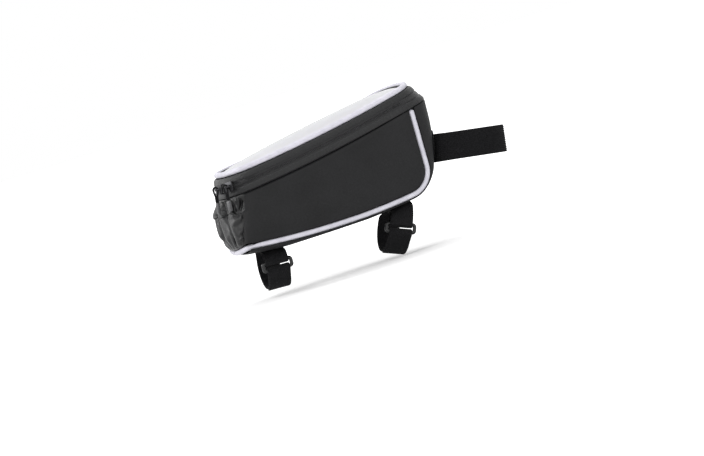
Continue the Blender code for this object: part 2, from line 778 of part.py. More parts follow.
body_panels()
upper_band, upper_coil = lid_band()
hinge_x = plan_point(1.0, 0.0, ZIP_HEIGHT).x
lid_hinge = empty("lid_hinge", (hinge_x, 0.0, seam_z(hinge_x) + ZIP_HEIGHT))
hang(lid_hinge, [upper_band, upper_coil, *lid_top()])
tube_strap("rear", REAR_STRAP_X, REAR_STRAP_TURN, TUBE_RADIUS, RING_TOP_Z)
tube_strap("front", FRONT_STRAP_X, FRONT_STRAP_TURN, FRONT_TUBE_RADIUS, FRONT_RING_TOP_Z)
steerer_strap()
zip_slider("near", SLIDER_NEAR_Q)
zip_slider("far", SLIDER_FAR_Q)
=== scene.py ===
"""Dresses the frame phone bag: cloth, beads, zip, clear lid window, webbing straps and their rings.

Metres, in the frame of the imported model: +X forward along the tube, +Z away from it, near side at -Y.
"""

from __future__ import annotations

import logging
import math
from collections.abc import Callable, Sequence
from dataclasses import dataclass, field
from enum import Enum

import bmesh
import bpy
from mathutils import Matrix, Vector, noise

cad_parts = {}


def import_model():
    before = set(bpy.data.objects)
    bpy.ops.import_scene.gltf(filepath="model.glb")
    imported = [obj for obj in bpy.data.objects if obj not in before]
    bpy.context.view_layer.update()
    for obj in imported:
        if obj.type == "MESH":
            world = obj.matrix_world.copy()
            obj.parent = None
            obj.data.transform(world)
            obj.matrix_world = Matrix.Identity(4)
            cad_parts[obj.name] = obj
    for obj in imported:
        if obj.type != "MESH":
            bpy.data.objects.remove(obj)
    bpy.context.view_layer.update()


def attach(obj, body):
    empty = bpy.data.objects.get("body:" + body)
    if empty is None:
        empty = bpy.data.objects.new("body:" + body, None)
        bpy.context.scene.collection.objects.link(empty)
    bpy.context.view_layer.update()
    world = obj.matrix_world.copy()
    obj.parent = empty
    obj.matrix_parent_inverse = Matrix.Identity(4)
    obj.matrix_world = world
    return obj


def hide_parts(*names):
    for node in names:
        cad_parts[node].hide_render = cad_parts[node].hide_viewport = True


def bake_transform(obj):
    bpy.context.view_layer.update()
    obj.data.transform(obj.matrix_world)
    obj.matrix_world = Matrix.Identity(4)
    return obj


log = logging.getLogger("frame_phone_bag")

SheetPoint = Callable[[float, float, float], Vector]
Socket = bpy.types.NodeSocket


class Side(Enum):
    """The two long sides of the bag, by the sign of Y."""

    NEAR = -1
    FAR = 1

    @property
    def word(self) -> str:
        """The side's name as node names spell it."""
        return self.name.lower()


class ZipRow(Enum):
    """The two rows of a zip, by the sign of their height from its middle."""

    LOWER = -1
    UPPER = 1

    @property
    def body(self) -> str:
        """The body that carries the row."""
        return "bag" if self is ZipRow.LOWER else "lid"


def smooth(t: float) -> float:
    """Rise from 0 to 1 with level ends.

    Args:
        t: Where on the way, clamped to 0 to 1.

    Returns:
        The eased share.
    """
    t = min(max(t, 0.0), 1.0)
    return t * t * (3 - 2 * t)


def across(v: float) -> float:
    """Spread 0 to 1 over -1 to 1, closer at both ends."""
    return math.sin((v - 0.5) * math.pi)


# Finishes


@dataclass
class NodeKit:
    """A material under construction, with short calls for the shader nodes it uses."""

    name: str
    material: bpy.types.Material = field(init=False)

    def __post_init__(self) -> None:
        """Start a material with one Principled shader."""
        self.material = bpy.data.materials.new(self.name)
        self.material.use_nodes = True

    @property
    def shader(self) -> bpy.types.Node:
        """The Principled shader."""
        return self.material.node_tree.nodes["Principled BSDF"]

    def set(self, **values: float | tuple[float, ...]) -> None:
        """Set the shader's own sockets, named with underscores for spaces."""
        for name, value in values.items():
            self.shader.inputs[name.replace("_", " ")].default_value = value

    def add(self, kind: str, *links: Socket | float | None, **settings: object) -> bpy.types.Node:
        """Add a node.

        Args:
            kind: The node's type, without the ShaderNode in front.
            links: What feeds its inputs in order: a socket, a value, or None to leave one alone.
            settings: The node's properties.

        Returns:
            The node.
        """
        node = self.material.node_tree.nodes.new("ShaderNode" + kind)
        for name, value in settings.items():
            setattr(node, name, value)
        for index, feed in enumerate(links):
            if isinstance(feed, bpy.types.NodeSocket):
                self.material.node_tree.links.new(feed, node.inputs[index])
            elif feed is not None:
                node.inputs[index].default_value = feed
        return node

    def feed(self, name: str, socket: Socket) -> None:
        """Link a socket to one of the shader's inputs."""
        self.material.node_tree.links.new(socket, self.shader.inputs[name])

    def place(self, kind: str = "UV") -> Socket:
        """A coordinate in metres: UV follows the cloth, Object the piece."""
        return self.add("TexCoord").outputs[kind]

    def math(self, operation: str, *values: Socket | float) -> Socket:
        """One step of arithmetic."""
        return self.add("Math", *values, operation=operation).outputs[0]

    def sine(self, value: Socket, period: float) -> Socket:
        """A sine of a coordinate with a period in metres."""
        return self.math("SINE", self.math("MULTIPLY", value, 2 * math.pi / period))

    def axes(self, vector: Socket) -> tuple[Socket, Socket]:
        """The first two coordinates of a vector."""
        split = self.add("SeparateXYZ", vector)
        return split.outputs[0], split.outputs[1]

    def speckle(self, vector: Socket, size: float, detail: float = 3.0) -> Socket:
        """Noise from 0 to 1 with blotches of a size in metres."""
        node = self.add("TexNoise", vector)
        node.inputs["Scale"].default_value = 1 / size
        node.inputs["Detail"].default_value = detail
        return node.outputs["Fac"]

    def blend(self, share: Socket, low: tuple[float, ...], high: tuple[float, ...]) -> Socket:
        """A colour between two, by a share that is first stretched about its middle."""
        ramp = self.add("ValToRGB", share)
        ramp.color_ramp.elements[0].position, ramp.color_ramp.elements[1].position = 0.3, 0.7
        ramp.color_ramp.elements[0].color = (*low, 1.0)
        ramp.color_ramp.elements[1].color = (*high, 1.0)
        return ramp.outputs[0]

    def bump(self, *layers: tuple[Socket, float]) -> None:
        """Stack bumps on the shader's normal.

        Args:
            layers: Each a height from -1 to 1 or 0 to 1 and the real height of one unit, in metres.
        """
        normal = None
        for height, depth in layers:
            node = self.add("Bump")
            node.inputs["Strength"].default_value = 1.0
            node.inputs["Distance"].default_value = depth
            self.material.node_tree.links.new(height, node.inputs["Height"])
            if normal is not None:
                self.material.node_tree.links.new(normal, node.inputs["Normal"])
            normal = node.outputs[0]
        if normal is not None:
            self.feed("Normal", normal)


@dataclass(frozen=True)
class CoatedCloth:
    """Woven polyester with a satin coating, its threads and a faint mottle."""

    name: str
    dark: tuple[float, float, float]
    light: tuple[float, float, float]
    roughness: float = 0.5
    thread: float = 0.0006
    thread_height: float = 0.00003
    rib: float = 0.0
    rib_height: float = 0.00008
    mottle: float = 0.012
    gloss: float = 0.25

    def make(self) -> bpy.types.Material:
        """Build the material."""
        kit = NodeKit(self.name)
        place = kit.place()
        along, over = kit.axes(place)
        weave = kit.math("MULTIPLY", kit.sine(along, self.thread), kit.sine(over, self.thread))
        mottle = kit.speckle(kit.place("Object"), self.mottle, 5.0)
        grain = kit.speckle(kit.place("Object"), 0.0014, 2.0)
        tone = kit.math("ADD", kit.math("MULTIPLY", mottle, 0.65), kit.math("MULTIPLY", grain, 0.35))
        kit.feed("Base Color", kit.blend(tone, self.dark, self.light))
        layers = [(grain, 0.00012), (weave, self.thread_height)]
        if self.rib:
            layers.append((kit.sine(along, self.rib), self.rib_height))
        kit.bump(*layers)
        rough = kit.math("ADD", kit.math("MULTIPLY", mottle, 0.18), self.roughness - 0.09)
        kit.feed("Roughness", rough)
        kit.set(Specular_IOR_Level=self.gloss)
        return kit.material


@dataclass(frozen=True)
class BeadCover:
    """Pale reflective fabric drawn round a cord, with fine lines across it."""

    name: str = "bead_cover"
    colour: tuple[float, float, float] = (0.74, 0.73, 0.80)
    shade: tuple[float, float, float] = (0.62, 0.61, 0.68)

    def make(self) -> bpy.types.Material:
        """Build the material."""
        kit = NodeKit(self.name)
        along, over = kit.axes(kit.place())
        grid = kit.math("MULTIPLY", kit.sine(along, 0.0009), kit.sine(over, 0.0009))
        soil = kit.speckle(kit.place("Object"), 0.009, 4.0)
        kit.feed("Base Color", kit.blend(soil, self.shade, self.colour))
        kit.bump((grid, 0.00004), (kit.speckle(kit.place("Object"), 0.003), 0.0002))
        kit.set(Roughness=0.48, Specular_IOR_Level=0.3)
        return kit.material


@dataclass(frozen=True)
class ClearFilm:
    """Soft clear plastic sheet with a light frosting and scuffs."""

    name: str = "window_film"

    def make(self) -> bpy.types.Material:
        """Build the material."""
        kit = NodeKit(self.name)
        scuff = kit.speckle(kit.place("Object"), 0.006, 8.0)
        ripple = kit.speckle(kit.place("Object"), 0.034, 1.0)
        haze = kit.speckle(kit.place("Object"), 0.05, 2.0)
        kit.feed("Base Color", kit.blend(haze, (0.70, 0.70, 0.73), (0.80, 0.80, 0.83)))
        kit.feed("Roughness", kit.math("ADD", kit.math("MULTIPLY", scuff, 0.10), 0.26))
        kit.bump((ripple, 0.0007), (scuff, 0.00003))
        kit.set(Transmission_Weight=0.30, IOR=1.46)
        kit.set(Specular_IOR_Level=0.4, Coat_Weight=0.5, Coat_Roughness=0.10)
        return kit.material


@dataclass(frozen=True)
class Webbing:
    """Woven polyester tape: cross ribs and thread rows along it."""

    name: str
    dark: tuple[float, float, float] = (0.005, 0.005, 0.0055)
    light: tuple[float, float, float] = (0.016, 0.016, 0.0175)
    rib: float = 0.0011
    fluff: float = 0.00025

    def make(self) -> bpy.types.Material:
        """Build the material."""
        kit = NodeKit(self.name)
        along, over = kit.axes(kit.place())
        twill = kit.math("MULTIPLY", kit.sine(along, self.rib), kit.sine(over, self.rib * 1.6))
        fluff = kit.speckle(kit.place("Object"), 0.0011, 6.0)
        kit.feed("Base Color", kit.blend(fluff, self.dark, self.light))
        kit.bump((fluff, self.fluff), (twill, 0.00012))
        kit.set(Roughness=0.82, Specular_IOR_Level=0.12, Sheen_Weight=0.03, Sheen_Roughness=0.5)
        return kit.material


@dataclass(frozen=True)
class Moulded:
    """Moulded plastic or plated metal with a fine grain and rubbed patches."""

    name: str
    colour: tuple[float, float, float]
    worn: tuple[float, float, float]
    roughness: float = 0.35
    metallic: float = 0.0
    grain: float = 0.00004

    def make(self) -> bpy.types.Material:
        """Build the material."""
        kit = NodeKit(self.name)
        place = kit.place("Object")
        wear = kit.speckle(place, 0.004, 6.0)
        kit.feed("Base Color", kit.blend(wear, self.colour, self.worn))
        kit.feed("Roughness", kit.math("ADD", kit.math("MULTIPLY", wear, 0.2), self.roughness - 0.1))
        kit.bump((kit.speckle(place, 0.0007, 2.0), self.grain))
        kit.set(Metallic=self.metallic)
        return kit.material


@dataclass(frozen=True)
class Palette:
    """Every finish of the bag, made once."""

    side_cloth: bpy.types.Material
    soft_cloth: bpy.types.Material
    band_cloth: bpy.types.Material
    bead: bpy.types.Material
    film: bpy.types.Material
    lining: bpy.types.Material
    binding: bpy.types.Material
    foam: bpy.types.Material
    webbing: bpy.types.Material
    hook_tape: bpy.types.Material
    zip_tape: bpy.types.Material
    zip_teeth: bpy.types.Material
    buckle: bpy.types.Material
    slider: bpy.types.Material
    pull: bpy.types.Material
    thread: bpy.types.Material
    board: bpy.types.Material

    @classmethod
    def mix(cls) -> Palette:
        """Make the materials."""
        return cls(
            side_cloth=CoatedCloth(
                "side_cloth", (0.0050, 0.0051, 0.0056), (0.0145, 0.0147, 0.0159), 0.55, mottle=0.045
            ).make(),
            soft_cloth=CoatedCloth(
                "soft_cloth", (0.0040, 0.0041, 0.0045), (0.0095, 0.0097, 0.0106), 0.31, gloss=0.46
            ).make(),
            band_cloth=CoatedCloth(
                "band_cloth", (0.0065, 0.0067, 0.0073), (0.012, 0.0122, 0.0132), 0.36,
                rib=0.0019, rib_height=0.00007, gloss=0.42,
            ).make(),
            bead=BeadCover().make(),
            film=ClearFilm().make(),
            lining=CoatedCloth("pocket_lining", (0.34, 0.34, 0.36), (0.42, 0.42, 0.44), 0.7).make(),
            binding=Webbing("lid_binding", (0.010, 0.010, 0.011), (0.024, 0.024, 0.026)).make(),
            foam=CoatedCloth(
                "foam_lining", (0.030, 0.030, 0.033), (0.046, 0.046, 0.050), 0.8, rib=0.006
            ).make(),
            webbing=Webbing("strap_webbing").make(),
            hook_tape=Webbing(
                "hook_tape", (0.004, 0.004, 0.0045), (0.014, 0.014, 0.0155), 0.0014, 0.0005
            ).make(),
            zip_tape=CoatedCloth(
                "zip_tape", (0.007, 0.007, 0.0077), (0.014, 0.014, 0.0154), 0.42, rib=0.0008, gloss=0.36
            ).make(),
            zip_teeth=Moulded("zip_teeth", (0.012, 0.012, 0.013), (0.026, 0.026, 0.028), 0.34).make(),
            buckle=Moulded("strap_ring_plastic", (0.006, 0.006, 0.0065), (0.014, 0.014, 0.015), 0.3).make(),
            slider=Moulded("slider_plating", (0.026, 0.026, 0.028), (0.066, 0.066, 0.070), 0.40, 1.0).make(),
            pull=Moulded("pull_plastic", (0.045, 0.045, 0.048), (0.085, 0.085, 0.09), 0.4).make(),
            thread=Moulded("black_thread", (0.008, 0.008, 0.009), (0.02, 0.02, 0.022), 0.6).make(),
            board=Moulded("base_board_plastic", (0.05, 0.05, 0.052), (0.09, 0.09, 0.095), 0.6).make(),
        )


# Making pieces


@dataclass(frozen=True)
class Sheet:
    """A closed sheet of cloth or film, from a grid that is given two skins and then laid in place."""

    name: str
    columns: int
    rows: int
    length: float
    width: float
    closed: bool = False
    levels: int = 1

    def make(self, point: SheetPoint) -> bpy.types.Object:
        """Build the sheet.

        Args:
            point: Gives the place of u, v and deep, 0 on the outside and 1 on the inside.

        Returns:
            The object, with a UV map in metres.
        """
        bm = bmesh.new()
        bmesh.ops.create_grid(bm, x_segments=self.columns, y_segments=self.rows, size=0.5)
        bmesh.ops.solidify(bm, geom=bm.faces[:], thickness=1.0)
        if self.closed:
            ends = [face for face in bm.faces if abs(face.normal.x) > 0.5]
            bmesh.ops.delete(bm, geom=ends, context="FACES")
        layer = bm.loops.layers.uv.new("cloth")
        for face in bm.faces:
            for loop in face.loops:
                co = loop.vert.co
                loop[layer].uv = ((co.x + 0.5) * self.length, (co.y + 0.5) * self.width)
        for vert in bm.verts:
            vert.co = point(vert.co.x + 0.5, vert.co.y + 0.5, min(abs(vert.co.z), 1.0))
        if self.closed:
            bmesh.ops.remove_doubles(bm, verts=bm.verts[:], dist=1e-6)
        return finish_mesh(self.name, bm, self.levels)


def finish_mesh(name: str, bm: bmesh.types.BMesh, levels: int = 0, sharp: float = 50.0) -> bpy.types.Object:
    """Turn a bmesh into an object that faces out.

    Args:
        name: The piece's name.
        bm: The mesh, which is freed.
        levels: Subdivision steps that finish it.
        sharp: Edges over this angle in degrees stay crisp.

    Returns:
        The object, at the origin.
    """
    bmesh.ops.recalc_face_normals(bm, faces=bm.faces[:])
    if bm.calc_volume(signed=True) < 0:
        bmesh.ops.reverse_faces(bm, faces=bm.faces[:])
    mesh = bpy.data.meshes.new(name)
    bm.to_mesh(mesh)
    bm.free()
    mesh.shade_smooth()
    obj = bpy.data.objects.new(name, mesh)
    bpy.context.scene.collection.objects.link(obj)
    if levels:
        modifier = obj.modifiers.new("Smooth", "SUBSURF")
        modifier.levels = modifier.render_levels = levels
    else:
        mesh.set_sharp_from_angle(angle=math.radians(sharp))
    return obj


@dataclass(frozen=True)
class Tube:
    """A round cord, bead or wire swept along points."""

    name: str
    radius: float
    sides: int = 12
    cyclic: bool = False
    level: Vector = field(default_factory=lambda: Vector((0, 0, 1)))

    def make(self, path: Sequence[Vector], swell: Callable[[float], float] | None = None) -> bpy.types.Object:
        """Build the tube.

        Args:
            path: The points of its middle line.
            swell: Radius as a share of the named one, by the share of the way along.

        Returns:
            The object, with a UV map in metres along and round it.
        """
        bm = bmesh.new()
        stations = len(path) if self.cyclic else len(path) - 1
        length = sum((b - a).length for a, b in zip(path, path[1:]))
        bmesh.ops.create_grid(bm, x_segments=stations, y_segments=self.sides, size=0.5)
        layer = bm.loops.layers.uv.new("cloth")
        for face in bm.faces:
            for loop in face.loops:
                co = loop.vert.co
                loop[layer].uv = ((co.x + 0.5) * length, (co.y + 0.5) * 2 * math.pi * self.radius)
        for vert in bm.verts:
            share = vert.co.x + 0.5
            index = round(share * stations)
            middle, side, up = self.station(path, index)
            turn = 2 * math.pi * (vert.co.y + 0.5)
            reach = self.radius * (swell(share) if swell else 1.0)
            vert.co = middle + (side * math.cos(turn) + up * math.sin(turn)) * reach
        bmesh.ops.remove_doubles(bm, verts=bm.verts[:], dist=1e-6)
        if not self.cyclic:
            edges = [edge for edge in bm.edges if edge.is_boundary]
            bmesh.ops.holes_fill(bm, edges=edges, sides=0)
        return finish_mesh(self.name, bm)

    def station(self, path: Sequence[Vector], index: int) -> tuple[Vector, Vector, Vector]:
        """The middle point and the two directions across the path there."""
        count = len(path)
        if self.cyclic:
            before, after = path[(index - 1) % count], path[(index + 1) % count]
            middle = path[index % count]
        else:
            before, after = path[max(index - 1, 0)], path[min(index + 1, count - 1)]
            middle = path[index]
        ahead = (after - before).normalized()
        side = ahead.cross(self.level).normalized()
        return middle, side, side.cross(ahead)


def capped(share: float, soft: float = 0.02) -> float:
    """Round off both ends of a tube: a radius share that falls to a little at 0 and 1."""
    edge = min(share, 1 - share) / soft
    return math.sqrt(max(1 - (1 - min(edge, 1.0)) ** 2, 0.02))


@dataclass(frozen=True)
class Spot:
    """A place for a stitch or a tooth."""

    middle: Vector
    along: Vector
    out: Vector

    def frame(self) -> Matrix:
        """A matrix with X along, Z out and the place as its origin."""
        x = self.along.normalized()
        y = self.out.cross(x).normalized()
        z = x.cross(y)
        return Matrix.Translation(self.middle) @ Matrix((x, y, z)).transposed().to_4x4()


def spots_on(
    path: Callable[[float], Vector], out: Callable[[Vector, Vector], Vector], pitch: float
) -> list[Spot]:
    """Even places along a path.

    Args:
        path: Gives the point at a share from 0 to 1.
        out: Gives the outward direction from a point and the direction of travel.
        pitch: The distance from one place to the next.

    Returns:
        The places.
    """
    fine = [path(index / 400) for index in range(401)]
    total = sum((b - a).length for a, b in zip(fine, fine[1:]))
    count = max(int(total / pitch), 1)
    found, walked, want = [], 0.0, pitch / 2
    for first, second in zip(fine, fine[1:]):
        step = (second - first).length
        while step > 0 and walked + step >= want and len(found) < count:
            middle = first.lerp(second, (want - walked) / step)
            found.append(Spot(middle, second - first, out(middle, second - first)))
            want += total / count
        walked += step
    return found


def stitches(
    name: str, spots: Sequence[Spot], length: float = 0.0023, width: float = 0.00055
) -> bpy.types.Object:
    """A row of stitches: small stretched beads half sunk in the cloth.

    Args:
        name: The row's name.
        spots: Where the stitches are.
        length: Length of one stitch.
        width: Its thickness.

    Returns:
        One object with all of them.
    """
    bm = bmesh.new()
    shape = Matrix.Diagonal((length / 2, width / 2, width / 2, 1.0))
    for spot in spots:
        bmesh.ops.create_uvsphere(bm, u_segments=6, v_segments=5, radius=1.0, matrix=spot.frame() @ shape)
    return finish_mesh(name, bm)


@dataclass
class Fitter:
    """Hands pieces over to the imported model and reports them."""

    palette: Palette
    count: int = 0

    def fit(
        self, piece: bpy.types.Object, body: str, slot: str, material: bpy.types.Material, *nodes: str
    ) -> bpy.types.Object:
        """Dress a piece and say what it is.

        Args:
            piece: The object.
            body: The body that carries it.
            slot: The record's material slot; not used.
            material: Its finish.
            nodes: The solids that it stands for.

        Returns:
            The same object.
        """
        piece.data.materials.clear()
        piece.data.materials.append(material)
        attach(piece, body)
        if nodes:
            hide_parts(*nodes)
        self.count += 1
        log.info("%s rides on %s", piece.name, body)
        return piece


# The bag's shape


@dataclass(frozen=True)
class BagForm:
    """Sizes of the bag and the surfaces that they give."""

    gap: float = 0.0003
    wall: float = 0.0018
    webbing: float = 0.0012
    bead: float = 0.0025
    edge_low_x: float = 0.008
    edge_low_z: float = 0.0051
    edge_bow: float = 0.79
    front_edge_x: float = 0.0994
    toe_radius: float = 0.022
    land_x: float = -0.002
    land_half: float = 0.038
    land_dip: float = 0.0013
    land_press: float = 0.0007
    low_half_width: float = 0.0376
    flare: float = 0.088
    rear_low_x: float = -0.0850
    rear_lean: float = 0.0060
    rear_lean_z: float = 0.077
    rear_reach_low: float = 0.0080
    rear_reach_rise: float = 0.0200
    reach_start_z: float = 0.010
    reach_rise_z: float = 0.050
    rear_wrap: float = 0.47
    rear_sag: float = 0.0043
    tail_fill: float = 0.0025
    tail_share: float = 0.07
    seam_height: float = 0.0657
    seam_slope: float = 0.1437
    seam_bow: float = 0.377
    band_height: float = 0.0178
    band_lean: float = 0.59
    zip_height: float = 0.0090
    slot_half: float = 0.0023
    nose: float = 0.0195
    nose_bow: float = 3.8
    nose_least: float = 0.0014
    nose_z: float = 0.084
    roundness: float = 2.4
    rim_width: float = 0.0036
    rim_thick: float = 0.0012
    window_thick: float = 0.0006
    window_crown: float = 0.0078
    pocket_height: float = 0.0127
    pocket_thick: float = 0.0008
    pocket_mouth: float = 0.13

    @property
    def edge_step(self) -> float:
        """From a bead's middle to the cloth beside it."""
        return self.bead + self.gap

    @property
    def bead_height(self) -> float:
        """Height of the lid bead's middle above the seam."""
        return self.band_height + self.gap + self.bead

    def half_width(self, z: float) -> float:
        """Half the width of the bag at a height."""
        return self.low_half_width + self.flare * z

    def seam_z(self, x: float) -> float:
        """Height of the seam under the lid band."""
        return self.seam_height + self.seam_slope * x + self.seam_bow * x * x

    def belly_z(self, x: float) -> float:
        """Height of the underside along its middle."""
        return max(0.0, -self.land_dip * (1 - ((x - self.land_x) / self.land_half) ** 2))

    def rounding(self, q: float) -> float:
        """Share of a bulge left at q, 1 in the middle and 0 at the edge."""
        return max(0.0, 1 - abs(q) ** self.roundness) ** (1 / self.roundness)

    def nose_reach(self, z: float) -> float:
        """How far the front bulges past its edge."""
        return max(self.nose - self.nose_bow * max(0.0, self.nose_z - z) ** 2, self.nose_least)

    def edge_z(self, x: float) -> float:
        """Height of the lower bead's middle."""
        return self.edge_low_z + self.edge_bow * (x - self.edge_low_x) ** 2

    def rear_x(self, z: float) -> float:
        """The rearmost line of the rear face at a height."""
        return self.rear_low_x + self.rear_lean * (z / self.rear_lean_z) ** 4

    def rear_reach(self, z: float) -> float:
        """How far the rounded rear stands behind the sides at a height."""
        risen = smooth((z - self.reach_start_z) / self.reach_rise_z)
        return self.rear_reach_low + self.rear_reach_rise * risen

    def rear_point(self, q: float, z: float, inset: float = 0.0) -> Vector:
        """A point of the rounded rear: q from side to side, at a height, drawn in by inset."""
        reach = self.rear_reach(z)
        x = self.rear_x(z) + reach - (reach - inset) * self.rounding(q)
        return Vector((x, q * (self.half_width(z) - inset), z))

    def side_end(self, z: float, wrap: float, inset: float = 0.0) -> float:
        """Where a side piece ends that goes round a share of the rear's rounding."""
        return self.rear_x(z) + self.rear_reach(z) - wrap * (self.rear_reach(z) - inset)

    def side_y(self, x: float, z: float, inset: float = 0.0) -> float:
        """Half the width at a place, drawn in where the rear rounds off."""
        reach = self.rear_reach(z) - inset
        behind = max(0.0, self.rear_x(z) + self.rear_reach(z) - x) / reach
        return (self.half_width(z) - inset) * self.rounding(min(behind, 1.0))

    @property
    def rear_q(self) -> float:
        """The share of the width at which a side panel ends and the rear cloth begins."""
        return self.rounding(self.rear_wrap)

    def sag_z(self, q: float) -> float:
        """Height of the bead's middle line where it runs across under the rear."""
        corner_x = self.rear_x(0) + self.rear_reach_low
        return self.edge_z(corner_x) - self.rear_sag * (1 - q * q)

    @property
    def toe(self) -> tuple[float, float, float, float]:
        """The toe arc's centre, its first angle, and the X where it starts."""
        x, angle = self.front_edge_x - self.toe_radius, 0.0
        for _ in range(6):
            angle = math.atan(2 * self.edge_bow * (x + self.toe_radius * math.sin(angle) - self.edge_low_x))
        start = x + self.toe_radius * math.sin(angle)
        return x, self.edge_z(start) + self.toe_radius * math.cos(angle), angle, start

    def edge_path(self, s: float) -> tuple[Vector, Vector]:
        """The lower bead's middle line in the XZ plane.

        Args:
            s: From 0 at the rear to 1 at the toe, 2 past it and 3 at the top.

        Returns:
            The point and the outward direction, both at y 0.
        """
        toe_x, toe_z, first, start_x = self.toe
        if s <= 1:
            rear = self.rear_x(0) + self.rear_reach_low
            x = rear + (start_x - rear) * s
            slope = 2 * self.edge_bow * (x - self.edge_low_x)
            return Vector((x, 0, self.edge_z(x))), Vector((slope, 0, -1)).normalized()
        if s <= 2:
            angle = first + (math.pi / 2 - first) * (s - 1)
            out = Vector((math.sin(angle), 0, -math.cos(angle)))
            return Vector((toe_x, 0, toe_z)) + out * self.toe_radius, out
        top = self.seam_z(self.front_edge_x - self.bead) - self.gap
        return Vector((self.front_edge_x, 0, toe_z + (top - toe_z) * (s - 2))), Vector((1, 0, 0))

    def gusset_point(self, s: float, q: float, deep: float) -> Vector:
        """The strip between the lower beads, under the bag and up its front."""
        toe_z = self.toe[1]
        middle, out = self.edge_path(s)
        under = max(self.edge_z(middle.x) - self.edge_step - self.belly_z(middle.x), self.wall)
        reach = self.nose_reach(middle.z)
        bulge = under + (reach - under) * smooth(s - 1) if s < 2 else reach
        if s < 1:
            bulge += self.land_press * (1 - smooth(s))
        step = self.edge_step + (bulge - self.wall * deep) * self.rounding(q)
        width = self.half_width(middle.z) - self.wall * deep
        point = middle + out * step + Vector((0, q * width, 0))
        if s < 1:
            point.z = max(point.z, self.belly_z(middle.x) + self.wall * deep)
            point.x -= self.tail_fill * self.rounding(q) * max(0.0, 1 - s / self.tail_share)
        if s > 2:
            point.z = toe_z + (self.seam_z(point.x) - self.gap / 2 - toe_z) * (s - 2)
        return point

    def band_rear_x(self, height: float) -> float:
        """The rearmost line at a height above the seam."""
        x = self.rear_low_x
        for _ in range(6):
            x = self.rear_x(self.seam_z(x) + height)
        return x

    def plan_point(self, u: float, q: float, height: float, inset: float = 0.0) -> Vector:
        """A point above the seam: u from rear to nose, q from side to side, drawn in by inset."""
        rear = self.band_rear_x(height)
        reach = self.rear_reach(self.seam_z(rear) + height)
        back = rear + reach
        front = self.front_edge_x + self.edge_step - self.band_lean * height
        line_x = back + (front - back) * u
        width = self.half_width(self.seam_z(line_x) + height) - inset
        tail = back - (reach - inset) * self.rounding(q)
        nose_x = front + (self.nose - inset) * self.rounding(q)
        x = tail + (nose_x - tail) * u
        return Vector((x, q * width, self.seam_z(x) + height))

    def outline(self, t: float, height: float, inset: float = 0.0) -> Vector:
        """A point of the plan outline above the seam, t from 0 at the rear middle once round."""
        u, q = LOOP.place(t)
        return self.plan_point(u, q, height, inset)

    def outward(self, middle: Vector, along: Vector) -> Vector:
        """The direction out of the band, level and across the way along."""
        level = along.cross(Vector((0, 0, 1)))
        centre = Vector((0.02, 0, middle.z))
        return level if level.dot(middle - centre) > 0 else -level


@dataclass(frozen=True)
class LoopSteps:
    """How the way round the band is shared out: half the rear, a side, and half the nose."""

    round_share: float = 7.0
    side_share: float = 8.0

    @property
    def half(self) -> float:
        """Half way round."""
        return 2 * self.round_share + self.side_share

    @property
    def nose_start(self) -> float:
        """The share of the way round at which the nose begins."""
        return (self.round_share + self.side_share) / (2 * self.half)

    def place(self, t: float) -> tuple[float, float]:
        """Plan coordinates (u, q) at a share of the way round."""
        steps = (t % 1.0) * 2 * self.half
        side = -1 if steps <= self.half else 1
        steps = min(steps, 2 * self.half - steps)
        turn = math.pi / 2 / self.round_share
        if steps <= self.round_share:
            return 0.0, side * math.sin(turn * steps)
        if steps <= self.round_share + self.side_share:
            return (steps - self.round_share) / self.side_share, float(side)
        return 1.0, side * math.sin(turn * (self.half - steps))


LOOP = LoopSteps()


@dataclass(frozen=True)
class Fold:
    """A crease in the soft rear cloth: where it stands across, how it drifts, and its reach up and down."""

    q: float
    drift: float
    width: float
    height: float
    low: float = 0.0
    high: float = 1.0

    def lift(self, q: float, share: float) -> float:
        """Height of the fold at a place, in metres, out of the cloth."""
        middle = self.q + self.drift * (share - 0.5) + 0.05 * math.sin(7 * share + 9 * self.q)
        fade = smooth((share - self.low) / 0.18) * smooth((self.high - share) / 0.18)
        return self.height * fade * math.exp(-(((q - middle) / self.width) ** 2))


